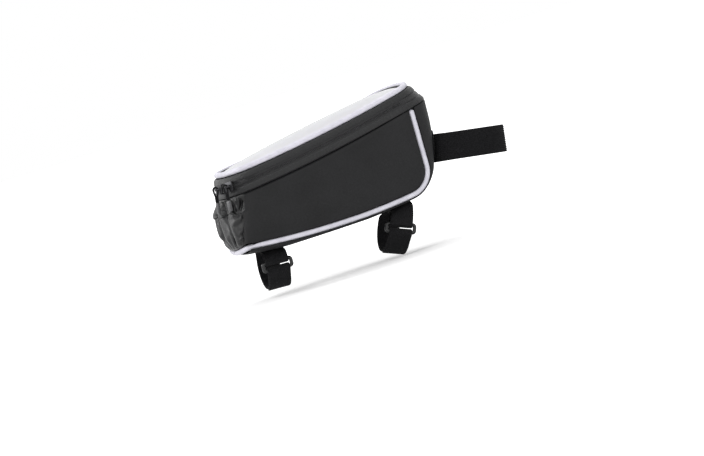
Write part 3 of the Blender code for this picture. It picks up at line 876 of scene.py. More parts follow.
@dataclass
class Body:
    """Cloth body: side panels with their pads, underside and front in one strip, crumpled rear, beads."""

    form: BagForm
    fitter: Fitter
    pad_margin: float = 0.007
    pad_thick: float = 0.0015
    tuck: float = 0.0022
    tuck_depth: float = 0.0007
    swell: float = 0.0016
    side_crowd: float = 1.4
    wrap_steps: int = 40
    ease_rounds: int = 110
    binding_in: float = 0.0027
    binding_lift: float = 0.0021
    binding_radius: float = 0.0030
    rear_columns: int = 58
    rear_rows: int = 84
    sim_scale: float = 12.0
    sim_frames: int = 24
    extra_cloth: float = 0.10
    move_cap: float = 0.0030
    seam_share: float = 0.003
    tuck_u: float = 0.66
    overhang: float = 0.0016
    seam_tuck: float = 0.0018
    tuck_width: float = 0.10
    pressure: float = 0.03
    folds: tuple[Fold, ...] = (
        Fold(-0.83, 0.00, 0.17, 0.0030, 0.0, 0.70),
        Fold(-0.45, 0.34, 0.080, -0.0094, 0.0, 1.0),
        Fold(-0.14, 0.20, 0.14, 0.0026, 0.05, 0.95),
        Fold(-0.895, 0.55, 0.055, -0.0048, 0.56, 1.0),
        Fold(-0.90, 0.00, 0.045, -0.0042, 0.58, 1.0),
        Fold(-0.52, 0.10, 0.16, -0.0034, 0.56, 1.0),
        Fold(-0.60, 0.25, 0.05, 0.0014, 0.62, 1.0),
        Fold(0.26, -0.30, 0.09, -0.0062, 0.08, 1.0),
        Fold(0.46, 0.25, 0.14, 0.0030, 0.10, 0.9),
        Fold(0.66, 0.10, 0.07, -0.0050, 0.25, 1.0),
        Fold(0.84, -0.15, 0.10, 0.0022, 0.1, 0.8),
    )

    def build(self) -> None:
        """Build every piece of the body."""
        paint = self.fitter.palette
        self.gusset()
        self.rear()
        for side in Side:
            panel = self.side_sheet(
                f"dressed_side_{side.word}", side, self.form.edge_step, self.form.rear_wrap,
                0.0, self.form.wall, 0.0
            )
            self.fitter.fit(panel, "bag", "cloth", paint.side_cloth, f"side_panel_{side.word}")
            pad = self.side_sheet(
                f"dressed_pad_{side.word}", side, self.pad_margin, 0.0,
                self.form.wall + self.form.gap, self.pad_thick, 0.4
            )
            self.fitter.fit(pad, "bag", "foam", paint.foam, f"side_pad_{side.word}")
            self.bead(side)
            self.binding(side)
        self.fitter.fit(self.board(), "bag", "board", paint.board, "base_board")

    def edge_drop(self, distance: float) -> float:
        """How far cloth dips where it is sewn in, by the distance from its edge."""
        return self.tuck_depth * (1 - smooth(distance / self.tuck)) ** 2

    def gusset(self) -> None:
        """The strip under the bag and up its front, puckered along both beads."""
        form = self.form

        def point(u: float, v: float, deep: float) -> Vector:
            s, q = 3 * u, across(v)
            place = form.gusset_point(s, q, deep)
            if deep < 0.5:
                _, out = form.edge_path(s)
                edge = (1 - abs(q)) * form.half_width(place.z)
                pucker = noise.noise(Vector((place.x * 160, place.z * 160, math.copysign(7.0, q))))
                place -= out * (self.edge_drop(edge) + 0.00025 * pucker * smooth(1 - edge / 0.012))
                if s > 1.2:
                    place += out * 0.0006 * noise.noise(place * 42) * form.rounding(q)
            return place

        sheet = Sheet("underside_and_front", 108, 34, 0.28, 0.085).make(point)
        self.fitter.fit(sheet, "bag", "cloth", self.fitter.palette.side_cloth, "bottom_panel", "front_panel")

    def rear(self) -> None:
        """The soft rear cloth: laid in its main folds, then crumpled by simulation."""
        form, reach_q = self.form, self.form.rear_q - self.seam_share

        def laid(u: float, v: float, deep: float) -> Vector:
            q = across(v) * reach_q
            low = form.sag_z(q) + form.edge_step + form.gap
            high = form.plan_point(0.0, q, 0.0).z - form.gap / 2
            z = low + (high - low) * u
            side = across(v)
            fade = smooth((1 - u) / 0.10) * smooth(u / 0.06) * (1 - smooth((abs(side) - 0.92) / 0.08))
            lift = sum(fold.lift(side, u) for fold in self.folds)
            edge = self.seam_tuck * smooth((abs(side) - 1 + self.tuck_width) / self.tuck_width)
            tuck_u = self.tuck_u + 0.03 * math.sin(9 * side)
            lift += self.overhang * smooth((u - tuck_u) / 0.025) * (1 - smooth((u - tuck_u) / 0.22))
            out = (form.rear_point(q, z) - form.rear_point(q, z, 0.001)).normalized()
            return form.rear_point(q, z, form.wall * deep) + out * (lift * fade - edge)

        drift = self.crumple(laid)

        def point(u: float, v: float, deep: float) -> Vector:
            key = (round(u * self.rear_columns), round(v * self.rear_rows))
            return laid(u, v, deep) + drift[key] * (1 - 0.2 * deep)

        sheet = Sheet("rear_cloth", self.rear_columns, self.rear_rows, 0.055, 0.085).make(point)
        self.fitter.fit(sheet, "bag", "cloth", self.fitter.palette.soft_cloth, "rear_panel")

    def crumple(self, laid: SheetPoint) -> dict[tuple[int, int], Vector]:
        """Let the rear cloth, cut too large for its frame, buckle by simulation.

        Args:
            laid: The sheet's own places before it buckles.

        Returns:
            How far each point of its grid moves.
        """
        bm = bmesh.new()
        bmesh.ops.create_grid(bm, x_segments=self.rear_columns, y_segments=self.rear_rows, size=0.5)
        keys, start = [], []
        for vert in bm.verts:
            u, v = vert.co.x + 0.5, vert.co.y + 0.5
            keys.append((round(u * self.rear_columns), round(v * self.rear_rows)))
            start.append(laid(u, v, 0.0))
            vert.co = start[-1] * self.sim_scale
        mesh = bpy.data.meshes.new("rear_cloth_sim")
        bm.to_mesh(mesh)
        bm.free()
        obj = bpy.data.objects.new("rear_cloth_sim", mesh)
        bpy.context.scene.collection.objects.link(obj)
        pins = obj.vertex_groups.new(name="sewn")
        for index, (i, j) in enumerate(keys):
            edge = min(i, self.rear_columns - i, j, self.rear_rows - j)
            if edge <= 1:
                pins.add([index], 1.0, "REPLACE")
        cloth = obj.modifiers.new("Buckle", "CLOTH")
        settings = cloth.settings
        settings.quality = 6
        settings.vertex_group_mass = "sewn"
        settings.tension_stiffness = settings.compression_stiffness = 40
        settings.shear_stiffness = 12
        settings.bending_stiffness = 0.12
        settings.shrink_min = -self.extra_cloth
        settings.effector_weights.gravity = 0
        settings.use_pressure = True
        settings.uniform_pressure_force = self.pressure
        cloth.collision_settings.use_collision = False
        scene = bpy.context.scene
        for frame in range(1, self.sim_frames + 1):
            scene.frame_set(frame)
        evaluated = obj.evaluated_get(bpy.context.evaluated_depsgraph_get())
        moved = [vert.co / self.sim_scale for vert in evaluated.data.vertices]
        scene.frame_set(1)
        bpy.data.objects.remove(obj)
        drift = {}
        for key, before, after in zip(keys, start, moved):
            step = after - before
            drift[key] = step * min(1.0, self.move_cap / max(step.length, 1e-9))
        return drift

    def side_sheet(
        self, name: str, side: Side, margin: float, wrap: float, inset: float, thickness: float, crown: float
    ) -> bpy.types.Object:
        """A side piece whose edge lies inside the bead line.

        Args:
            name: The piece's name.
            side: Which side.
            margin: The distance from the bead's middle line.
            wrap: Share of the rear's rounding that it goes round.
            inset: The distance in from the bag's side.
            thickness: The wall.
            crown: Share of the swell that pads the inner face.

        Returns:
            The object.
        """
        form = self.form
        toe_x, toe_z, first, _ = form.toe
        straight = 0.8
        extra = margin - form.edge_step

        def point(u: float, v: float, deep: float) -> Vector:
            depth = inset + thickness * deep
            radius, share = form.toe_radius - margin, (u / straight) ** self.side_crowd
            rear = form.side_end(form.edge_z(form.rear_x(0)) + margin, wrap, depth) + extra
            if share > 1:
                angle = first + (math.pi / 2 - first) * (u - straight) / (1 - straight)
                x, low = toe_x + radius * math.sin(angle), toe_z - radius * math.cos(angle)
            else:
                x = rear + (toe_x + radius * math.sin(first) - rear) * share
                low = form.edge_z(x) + margin * math.hypot(1, math.tan(first) * share)
            high = form.seam_z(x) - form.gap / 2 - extra
            z = low + (high - low) * v
            x += (form.side_end(z, wrap, depth) + extra - rear) * max(0.0, 1 - share)
            z = min(z, form.seam_z(x) - form.gap / 2 - extra)
            edge = min(z - low, form.seam_z(x) - z, 0.17 * (1 - u) * 1.3)
            middle = smooth(min(u, 1 - u) * 5) * smooth(min(v, 1 - v) * 3)
            if deep < 0.5:
                wave = noise.noise(Vector((x * 22, z * 30, side.value * 5.0)))
                fine = noise.noise(Vector((x * 75 + z * 30, z * 60, side.value * 3.0)))
                lift = self.swell * middle * (0.55 + 0.45 * wave) + 0.00018 * fine * middle
                lift -= self.edge_drop(edge)
            else:
                lift = -crown * self.swell * middle
            return Vector((x, side.value * (form.side_y(x, z, depth) + lift), z))

        return Sheet(name, 88, 34, 0.175, 0.07).make(point)

    def bead(self, side: Side) -> None:
        """The pale bead along the lower seam of one side."""
        form = self.form
        path = []
        for index in range(self.wrap_steps):
            q = math.sin(math.pi / 2 * index / self.wrap_steps)
            z = form.sag_z(q)
            x = form.rear_x(0) + form.rear_reach_low - (form.rear_reach_low - form.bead) * form.rounding(q)
            y = max((form.half_width(z) - form.bead) * q, form.gap / 2)
            path.append(Vector((x, side.value * y, z)))
        for index in range(181):
            middle, _ = form.edge_path(3 * index / 180)
            middle.y = side.value * (form.half_width(middle.z) - form.bead)
            path.append(middle)

        for _ in range(self.ease_rounds):
            eased = [a.lerp(b, 0.5) for a, b in zip(path, path[2:])]
            for index, middle in enumerate(eased[: 2 * self.wrap_steps], start=1):
                path[index] = path[index].lerp(middle, 0.7)

        def swell(share: float) -> float:
            return (1 + 0.05 * noise.noise(Vector((share * 90, side.value, 0)))) * capped(share, 0.012)

        tube = Tube(f"dressed_bead_{side.word}", form.bead, 20, level=Vector((0, 1, 0))).make(path, swell)
        self.fitter.fit(tube, "bag", "piping", self.fitter.palette.bead, f"piping_{side.word}")

    def binding(self, side: Side) -> None:
        """The bound seam allowance that covers the bead on the inside."""
        path = []
        for index in range(150):
            middle, out = self.form.edge_path(2.96 * (index + 1) / 150)
            middle -= out * self.binding_lift
            middle.y = side.value * (self.form.half_width(middle.z) - self.form.bead - self.binding_in)
            path.append(middle)
        tube = Tube(f"seam_binding_{side.word}", self.binding_radius, 10, level=Vector((0, 1, 0))).make(path)
        self.fitter.fit(tube, "bag", "cloth", self.fitter.palette.binding)

    def board(self) -> bpy.types.Object:
        """The stiff plastic sheet inside the bottom."""
        form = self.form

        def point(u: float, v: float, deep: float) -> Vector:
            x, q = -0.062 + 0.122 * u, (2 * v - 1) * 0.74
            start_x = form.toe[3]
            path_x = form.edge_path(0.0)[0].x
            floor = form.gusset_point((x - path_x) / (start_x - path_x), q, 1).z + 2 * form.gap
            return Vector((x, q * form.half_width(floor), floor + 0.0014 * (1 - deep)))

        return Sheet("dressed_base_board", 18, 10, 0.122, 0.057).make(point)


@dataclass
class ZipBand:
    """Ribbed zip band in two halves, tapes and teeth between them, and the cloth that hinges the lid."""

    form: BagForm
    fitter: Fitter
    tooth_pitch: float = 0.0015
    tooth_reach: float = 0.0013
    tooth_mesh: float = 0.00035
    run_length: float = 0.40
    tape_rise: float = 0.00025
    tooth_sink: float = 0.0001
    tape_thick: float = 0.0006
    tape_tuck: float = 0.0008
    end_cover: float = 0.008
    hinge_thick: float = 0.0014
    allowance_inset: float = 0.0021
    guard_half: float = 0.0030
    guard_depth: float = 0.0047
    allowance: tuple[float, float] = (-0.0015, 0.0030)
    stitch_pitch: float = 0.0031
    band_length: float = 0.50

    def build(self) -> None:
        """Build both halves, their tapes, teeth and stitches."""
        form, paint = self.form, self.fitter.palette
        low_top, high_low = form.zip_height - form.slot_half, form.zip_height + form.slot_half
        self.half("dressed_band_lower", form.gap / 2, low_top, "bag", "lower_band")
        self.half("dressed_band_upper", high_low, form.band_height, "lid", "upper_band")
        self.hinge()
        for row in ZipRow:
            self.tape(row)
            self.teeth(row)
            edge = form.zip_height + row.value * (form.slot_half + 0.0013)
            self.seam(f"stitches_zip_{row.name.lower()}", edge, row.body)
        self.guard()
        self.lining()
        self.seam("stitches_band_foot", 0.0016, "bag")
        log.info("band cloth is %s", paint.band_cloth.name)

    def ease(self, v: float, t: float, height: float) -> float:
        """How far the band's outside stands from its solid: rounded edges and faint waves."""
        edge = min(v, 1 - v)
        place = self.form.outline(t, height)
        wave = 0.00045 * noise.noise(place * 48) + 0.0002 * noise.noise(place * 120)
        return (wave + 0.0003) * smooth(edge * 4) - 0.00045 * (1 - smooth(edge * 6))

    def half(self, name: str, low: float, high: float, body: str, node: str) -> None:
        """One half of the band."""

        def point(u: float, v: float, deep: float) -> Vector:
            height = low + (high - low) * v
            inset = self.form.wall * deep
            if deep < 0.5:
                inset -= self.ease(v, u, height)
            return self.form.outline(u, height, inset)

        sheet = Sheet(name, 264, 6, self.band_length, high - low, closed=True).make(point)
        self.fitter.fit(sheet, body, "cloth", self.fitter.palette.band_cloth, node)

    def hinge(self) -> None:
        """The strip round the nose that joins the lid to the body."""
        form, start = self.form, LOOP.nose_start - self.end_cover
        half = form.slot_half + self.tape_tuck

        def point(u: float, v: float, deep: float) -> Vector:
            t = start + (1 - 2 * start) * u
            height = form.zip_height + half * (2 * v - 1)
            edge = smooth(min(v, 1 - v) * 2 * half / (2 * self.tape_tuck))
            inset = 0.0006 * (1 - edge) + self.hinge_thick * deep
            return form.outline(t, height, inset)

        sheet = Sheet("dressed_hinge_cloth", 84, 10, 0.13, 2 * half).make(point)
        nose = form.plan_point(1.0, 0.0, form.zip_height)
        low, high = nose - Vector((0, 0, form.slot_half)), nose + Vector((0, 0, form.slot_half))
        sheet.data.materials.append(self.fitter.palette.band_cloth)
        tuple(low)
        tuple(high)
        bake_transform(sheet)
        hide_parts("lid_hinge_strip")
        log.info("%s bends from bag to lid", sheet.name)

    def guard(self) -> None:
        """The strip of cloth behind the teeth that keeps rain out."""
        form = self.form

        def point(u: float, v: float, deep: float) -> Vector:
            height = form.zip_height + self.guard_half * (2 * v - 1)
            return self.run(u, height, self.guard_depth + self.tape_thick * deep)

        sheet = Sheet("zip_guard", 160, 3, self.run_length, 2 * self.guard_half, levels=0).make(point)
        self.fitter.fit(sheet, "bag", "zip", self.fitter.palette.zip_tape)

    def lining(self) -> None:
        """The folded allowance inside the seam under the band, which closes it to light."""
        low, high = self.allowance

        def point(u: float, v: float, deep: float) -> Vector:
            return self.form.outline(u, low + (high - low) * v, self.allowance_inset + self.tape_thick * deep)

        size = self.band_length, high - low
        sheet = Sheet("seam_allowance", 200, 3, *size, closed=True, levels=0).make(point)
        self.fitter.fit(sheet, "bag", "cloth", self.fitter.palette.binding)

    def run(self, share: float, height: float, inset: float) -> Vector:
        """A point of the zip's way from one end of the nose round the rear to the other."""
        return self.form.outline(LOOP.nose_start * (2 * share - 1) * 0.995, height, inset)

    def tape(self, row: ZipRow) -> None:
        """The woven tape between a band edge and the teeth."""
        form = self.form
        near, far = form.slot_half + self.tape_tuck, self.tooth_reach * 0.55

        def point(u: float, v: float, deep: float) -> Vector:
            height = form.zip_height + row.value * (far + (near - far) * v)
            return self.run(u, height, self.tape_rise + self.tape_thick * deep)

        sheet = Sheet(f"zip_tape_{row.name.lower()}", 220, 2, 0.40, near - far, levels=0).make(point)
        self.fitter.fit(sheet, row.body, "zip", self.fitter.palette.zip_tape)

    def teeth(self, row: ZipRow) -> None:
        """One row of moulded teeth."""
        form = self.form
        middle = form.zip_height + row.value * (self.tooth_reach / 2 - self.tooth_mesh)
        shift = row.value * self.tooth_pitch / (4 * self.run_length)

        def line(s: float) -> Vector:
            return self.run(s + shift, middle, self.tooth_sink)

        spots = spots_on(line, form.outward, self.tooth_pitch)
        bm = bmesh.new()
        size = Matrix.Diagonal((self.tooth_pitch * 0.46, self.tooth_reach, 0.0011, 1.0))
        for spot in spots:
            bmesh.ops.create_cube(bm, size=1.0, matrix=spot.frame() @ size)
        bmesh.ops.bevel(
            bm, geom=bm.edges[:], offset=0.0002, segments=1, profile=0.5, affect="EDGES", material=-1
        )
        piece = finish_mesh(f"zip_teeth_{row.name.lower()}", bm)
        self.fitter.fit(piece, row.body, "zip", self.fitter.palette.zip_teeth, f"zip_coil_{row.name.lower()}")

    def seam(self, name: str, height: float, body: str) -> None:
        """A row of stitches round the band."""
        form = self.form
        spots = spots_on(lambda s: form.outline(s, height, -0.0002), form.outward, self.stitch_pitch)
        self.fitter.fit(stitches(name, spots), body, "cloth", self.fitter.palette.thread)


@dataclass
class Lid:
    """The lid's pale bead, its binding, the crowned clear window and the phone pocket under it."""

    form: BagForm
    fitter: Fitter
    steps: int = 220
    stitch_pitch: float = 0.0030

    def build(self) -> None:
        """Build the lid's pieces."""
        form, paint = self.form, self.fitter.palette
        path = [form.outline(index / self.steps, form.bead_height, form.bead) for index in range(self.steps)]

        def swell(share: float) -> float:
            wave = Vector((math.cos(2 * math.pi * share), math.sin(2 * math.pi * share), 0))
            return 1 + 0.05 * noise.noise(wave * 14)

        bead = Tube("dressed_lid_bead", form.bead, 20, cyclic=True).make(path, swell)
        self.fitter.fit(bead, "lid", "piping", paint.bead, "lid_piping")
        rim_in = 2 * form.bead + form.gap

        def rim(u: float, v: float, deep: float) -> Vector:
            edge = smooth(min(v, 1 - v) * 5)
            rise = form.rim_thick * (0.5 - deep) + (0.0004 * edge if deep < 0.5 else 0.0)
            return form.outline(u, form.bead_height, rim_in + form.rim_width * v) + Vector((0, 0, rise))

        rim_piece = Sheet("dressed_rim", 240, 5, 0.48, form.rim_width, closed=True).make(rim)
        self.fitter.fit(rim_piece, "lid", "binding", paint.binding, "lid_rim")
        glass_in = rim_in + form.rim_width + form.gap

        def window(u: float, v: float, deep: float) -> Vector:
            q = across(v)
            place = form.plan_point(smooth(u) * 0.5 + u * 0.5, q, form.bead_height, glass_in - 0.0012)
            crown = form.window_crown * max(0.0, math.sin(math.pi * u)) ** 0.75 * (1 - q * q)
            ripple = 0.0007 * noise.noise(place * 30) * smooth(min(u, 1 - u) * 6) * (1 - q * q)
            place.z += form.rim_thick / 2 - form.window_thick * deep + crown + ripple - 0.0007
            return place

        glass = Sheet("dressed_window", 56, 30, 0.155, 0.075).make(window)
        self.fitter.fit(glass, "lid", "window", paint.film, "lid_window")

        def pocket(u: float, v: float, deep: float) -> Vector:
            place = form.pocket_mouth + (1 - form.pocket_mouth) * u
            return form.plan_point(
                place, across(v), form.pocket_height - form.pocket_thick * deep, form.wall + form.gap
            )

        sheet = Sheet("dressed_pocket", 30, 24, 0.155, 0.086).make(pocket)
        self.fitter.fit(sheet, "lid", "lining", paint.lining, "phone_pocket")
        inset = rim_in + form.rim_width * 0.45
        rise = Vector((0, 0, form.rim_thick / 2 + 0.0004))

        def line(s: float) -> Vector:
            return form.outline(s, form.bead_height, inset) + rise

        spots = spots_on(line, lambda _middle, _along: Vector((0, 0, 1)), self.stitch_pitch)
        self.fitter.fit(stitches("stitches_rim", spots), "lid", "binding", paint.thread)


@dataclass(frozen=True)
class Ribbon:
    """A strip of webbing laid through stations."""

    name: str
    thickness: float
    rows: int = 10
    levels: int = 1

    def make(self, stations: Sequence[tuple[Vector, Vector]]) -> bpy.types.Object:
        """Build the strip.

        Args:
            stations: Each the middle point and the vector across the width.

        Returns:
            The object.
        """
        count = len(stations) - 1
        length = sum((b[0] - a[0]).length for a, b in zip(stations, stations[1:]))

        def point(u: float, v: float, deep: float) -> Vector:
            index = round(u * count)
            middle, width = stations[index]
            before, after = stations[max(index - 1, 0)][0], stations[min(index + 1, count)][0]
            normal = (after - before).cross(width).normalized()
            return middle + width * (v - 0.5) + normal * self.thickness * (deep - 0.5)

        width = stations[0][1].length
        return Sheet(self.name, count, self.rows, length, width, levels=self.levels).make(point)


def arc(
    centre: tuple[float, float], radius: float, start: float, end: float, count: int
) -> list[tuple[float, float]]:
    """Points (y, z) on an arc, angles in degrees."""
    turns = [math.radians(start + (end - start) * index / count) for index in range(count + 1)]
    return [(centre[0] + radius * math.cos(a), centre[1] + radius * math.sin(a)) for a in turns]


def rounded_path(corners: Sequence[tuple[float, float]], steps: int) -> list[tuple[float, float]]:
    """A smooth curve through points, for webbing that bends softly.

    Args:
        corners: The points (y, z).
        steps: Points made for each stretch.

    Returns:
        The finer points.
    """
    made: list[tuple[float, float]] = []
    last = len(corners) - 1
    for index in range(last):
        a, b = corners[max(index - 1, 0)], corners[index]
        c, d = corners[index + 1], corners[min(index + 2, last)]
        for step in range(steps):
            t = step / steps
            made.append(tuple(
                0.5 * (2 * b[k] + (c[k] - a[k]) * t + (2 * a[k] - 5 * b[k] + 4 * c[k] - d[k]) * t * t
                       + (3 * b[k] - a[k] - 3 * c[k] + d[k]) * t**3)
                for k in (0, 1)
            ))
    made.append(tuple(corners[-1]))
    return made


@dataclass
class TubeStrap:
    """One strap round the tube: folded tab, plastic ring and the strap that passes it and turns back."""

    form: BagForm
    fitter: Fitter
    word: str
    x: float
    turn: float
    tube_radius: float
    ring_top: float
    width: float = 0.020
    tab_extra: float = 0.0015
    ring_wire: float = 0.0013
    ring_fill: float = 0.0004
    strap_fill: float = 0.0012
    web_fill: float = 0.0004
    ring_half: float = 0.0130
    ring_stand: float = 0.0032
    ring_drop: float = 0.0070
    ring_bend: float = 0.0018
    turn_depth: float = 0.007

    @property
    def ring_y(self) -> float:
        """The ring's place beside the tube."""
        return -self.tube_radius - self.ring_stand

    @property
    def ring_low(self) -> float:
        """Height of the ring's lower bar."""
        return self.ring_top - self.ring_drop

    def place(self, along: float, y: float, z: float) -> Vector:
        """Put a strap's own point in the bag's frame; it turns more with depth."""
        share = smooth(-z / self.turn_depth)
        angle = self.turn * share
        x = self.x + along * math.cos(angle) + z * math.sin(angle)
        lift = (self.form.belly_z(x) - self.form.belly_z(self.x)) * (1 - share)
        return Vector((x, y, z * math.cos(angle) - along * math.sin(angle) + lift))

    def stations(self, path: Sequence[tuple[float, float]], width: float) -> list[tuple[Vector, Vector]]:
        """Middle points and widths of a ribbon along a section path."""
        return [
            (self.place(0, y, z), self.place(width / 2, y, z) - self.place(-width / 2, y, z)) for y, z in path
        ]

    def build(self) -> None:
        """Build tab, strap and ring."""
        form, paint = self.form, self.fitter.palette
        web, gap, ring_y = form.webbing, form.gap, self.ring_y
        flat = form.belly_z(self.x) - gap - web / 2
        hold = self.ring_wire + 1.7 * gap + web / 2
        step = web + gap
        top, low = (ring_y, self.ring_top), (ring_y, self.ring_low)
        tab = [(-0.0085, flat), (-0.0120, flat), (ring_y + 0.0042, flat - 0.0004)]
        tab += [(ring_y + 0.0012, flat - step), (ring_y - 0.0011, flat - 0.0042)]
        tab += arc(top, hold, 180, 360, 8)
        tab += [(ring_y + 0.0026, self.ring_top + 0.0024), (ring_y + 0.0044, self.ring_top + 0.0048)]
        tab += [(ring_y + 0.0070, flat - step - gap), (-0.0088, flat - step)]
        inner = self.tube_radius + gap + web / 2
        middle = (0.0, -self.tube_radius)
        strap = [(0.0055, flat), (0.0090, flat), (0.0120, flat - 0.0016)]
        strap += arc(middle, inner, 32, -152, 22)
        strap += arc(low, hold, 10, 180, 8)
        strap += [(ring_y - hold + 0.0001, self.ring_low - 0.0020)]
        strap += arc(middle, inner + step, 211, 262, 8)
        tab_piece = Ribbon(f"dressed_{self.word}_tab", web + self.web_fill).make(
            self.stations(rounded_path(tab, 3), self.width + self.tab_extra)
        )
        self.fitter.fit(tab_piece, "bag", "webbing", paint.webbing, f"{self.word}_ring_tab")
        strap_piece = Ribbon(f"dressed_{self.word}_strap", web + self.web_fill).make(
            self.stations(rounded_path(strap, 3), self.width + self.strap_fill)
        )
        self.fitter.fit(strap_piece, "bag", "hook_tape", paint.hook_tape, f"{self.word}_tube_strap")
        self.ring()
        self.tab_seam(flat)

    def ring(self) -> None:
        """The rounded oblong ring."""
        path = []
        for side_x, side_z, start in ((1, 1, 0), (-1, 1, 90), (-1, -1, 180), (1, -1, 270)):
            level = self.ring_top if side_z > 0 else self.ring_low
            corner = (side_x * (self.ring_half - self.ring_bend), level - side_z * self.ring_bend)
            turn = arc(corner, self.ring_bend, start, start + 90, 7)
            path += [self.place(along, self.ring_y, z) for along, z in turn]
        wire = self.ring_wire + self.ring_fill
        ring = Tube(f"dressed_{self.word}_ring", wire, 14, cyclic=True, level=Vector((0, 1, 0))).make(path)
        self.fitter.fit(ring, "bag", "buckle", self.fitter.palette.buckle, f"{self.word}_strap_ring")

    def tab_seam(self, flat: float) -> None:
        """Stitches that close the tab under the bag."""
        z = flat - self.form.webbing * 1.5 - self.form.gap - 0.0001
        half = self.width / 2 - 0.002
        rows = []
        for y in (-0.0098, -0.0118):
            rows += spots_on(
                lambda s, y=y: self.place(half * (2 * s - 1), y, z), lambda _m, _a: Vector((0, 0, -1)), 0.0028
            )
        piece = stitches(f"stitches_{self.word}_tab", rows)
        self.fitter.fit(piece, "bag", "webbing", self.fitter.palette.thread)


@dataclass
class SteererStrap:
    """Hook-and-loop strap that closes round the steerer, and its patch on the front cloth."""

    form: BagForm
    fitter: Fitter
    steerer_x: float = 0.167
    steerer_radius: float = 0.0180
    width: float = 0.025
    thick: float = 0.0014
    z: float = 0.0426
    fall: float = 0.16
    arm_y: float = 0.0185
    arm_root_y: float = 0.004
    patch_half_width: float = 0.0215
    patch_half_height: float = 0.0160
    patch_bulge: float = 0.0006
    loops: tuple[tuple[Side, float, float], ...] = ((Side.NEAR, 0.0026, 75.0), (Side.FAR, 0.0008, 62.0))
    belly: tuple[tuple[float, float], ...] = (
        (0.05, 0.0022), (0.14, 0.0032), (0.3, 0.0028), (0.5, 0.002), (0.75, 0.0008)
    )
    hook_pitch: float = 0.0016
    hook: tuple[float, float, float] = (0.0008, 0.00042, 0.0002)

    def front_x(self, y: float, z: float) -> float:
        """The front cloth at a place."""
        front = self.form.front_edge_x + self.form.edge_step
        return front + self.form.nose_reach(z) * self.form.rounding(y / self.form.half_width(z))

    def station(self, x: float, y: float, blend: float) -> tuple[Vector, Vector]:
        """A station of the strap; blend turns it from the front cloth's lean to the steerer's."""
        half, reach = self.width / 2, self.form.nose_reach
        z = self.z - self.fall * max(0.0, x - self.front_x(self.arm_y, self.z))
        lean = (reach(self.z + half) - reach(self.z - half)) * (1 - blend)
        return Vector((x, y, z)), Vector((lean + self.fall * self.width * blend, 0.0, self.width))

    def path(self, side: Side, clear: float, end: float) -> list[tuple[Vector, Vector]]:
        """All stations of one half of the strap."""
        radius = self.steerer_radius + clear
        base = 3 * self.form.gap + self.form.webbing + self.thick / 2
        made = []
        for index in range(6):
            y = self.arm_root_y + (self.arm_y - self.arm_root_y) * index / 5
            made.append(self.station(self.front_x(y, self.z) + base + self.patch_bulge, side.value * y, 0.0))
        start = self.front_x(self.arm_y, self.z) + base
        for share, out in self.belly:
            y = self.arm_y + (radius - self.arm_y) * share + out
            x = start + (self.steerer_x - start) * share
            made.append(self.station(x, side.value * y, smooth(share * 4)))
        for index in range(25):
            angle = math.radians(90 - (90 + end) * index / 24)
            x, y = self.steerer_x + radius * math.cos(angle), side.value * radius * math.sin(angle)
            made.append(self.station(x, y, 1.0))
        return made

    def build(self) -> None:
        """Build the patch, both strap halves and the hooks on the outer one."""
        form, paint = self.form, self.fitter.palette

        def patch(u: float, v: float, deep: float) -> Vector:
            y, z = self.patch_half_width * (2 * u - 1), self.z + self.patch_half_height * (2 * v - 1)
            return Vector((self.front_x(y, z) + 2 * form.gap + form.webbing * (1 - deep), y, z))

        size = 2 * self.patch_half_width, 2 * self.patch_half_height
        sheet = Sheet("dressed_patch", 20, 14, *size).make(patch)
        self.fitter.fit(sheet, "bag", "webbing", paint.webbing, "steerer_strap_patch")
        for side, clear, end in self.loops:
            stations = self.path(side, clear, end)
            piece = Ribbon(f"dressed_steerer_{side.word}", self.thick, 12).make(stations)
            self.fitter.fit(piece, "bag", "hook_tape", paint.hook_tape, f"steerer_strap_{side.word}")
            self.hooks(side, stations)
        self.patch_seam()

    def hooks(self, side: Side, stations: Sequence[tuple[Vector, Vector]]) -> None:
        """Rows of small hooks that stand on the outside of a strap half."""
        bm = bmesh.new()
        rows = int(self.width / self.hook_pitch)
        height, foot, tip = self.hook
        for row in range(rows):
            across_share = (row + 0.5) / rows - 0.5

            def line(s: float, share: float = across_share) -> Vector:
                at = s * (len(stations) - 1)
                low = min(int(at), len(stations) - 2)
                first, second = stations[low], stations[low + 1]
                return (first[0] + first[1] * share).lerp(second[0] + second[1] * share, at - low)

            def out(middle: Vector, along: Vector) -> Vector:
                flat = along.cross(Vector((self.fall, 0, 1)))
                return flat if flat.y * side.value > 0 or (abs(flat.y) < 1e-6 and flat.x > 0) else -flat

            for index, spot in enumerate(spots_on(line, out, self.hook_pitch)):
                away = Vector((spot.middle.x - self.steerer_x, spot.middle.y, 0))
                direction = spot.out.normalized()
                if spot.middle.x > self.steerer_x and direction.dot(away) < 0:
                    direction = -direction
                jitter = noise.noise(Vector((index * 1.7, row * 2.3, side.value)))
                base = spot.middle + direction * (self.thick / 2 + height * 0.4)
                placed = Spot(base + spot.along.normalized() * jitter * 0.0004, spot.along, direction)
                bmesh.ops.create_cone(
                    bm, cap_ends=True, segments=5, radius1=foot, radius2=tip,
                    depth=height * (1 + 0.5 * jitter),
                    matrix=placed.frame() @ Matrix.Rotation(0.5 * jitter, 4, "X"),
                )
        piece = finish_mesh(f"hooks_{side.word}", bm)
        self.fitter.fit(piece, "bag", "hook_tape", self.fitter.palette.hook_tape)

    def patch_seam(self) -> None:
        """Stitches round the patch."""
        inset = 0.0018
        half_y, half_z = self.patch_half_width - inset, self.patch_half_height - inset
        corners = ((-1, -1), (1, -1), (1, 1), (-1, 1), (-1, -1))
        rows: list[Spot] = []
        for (y0, z0), (y1, z1) in zip(corners, corners[1:]):

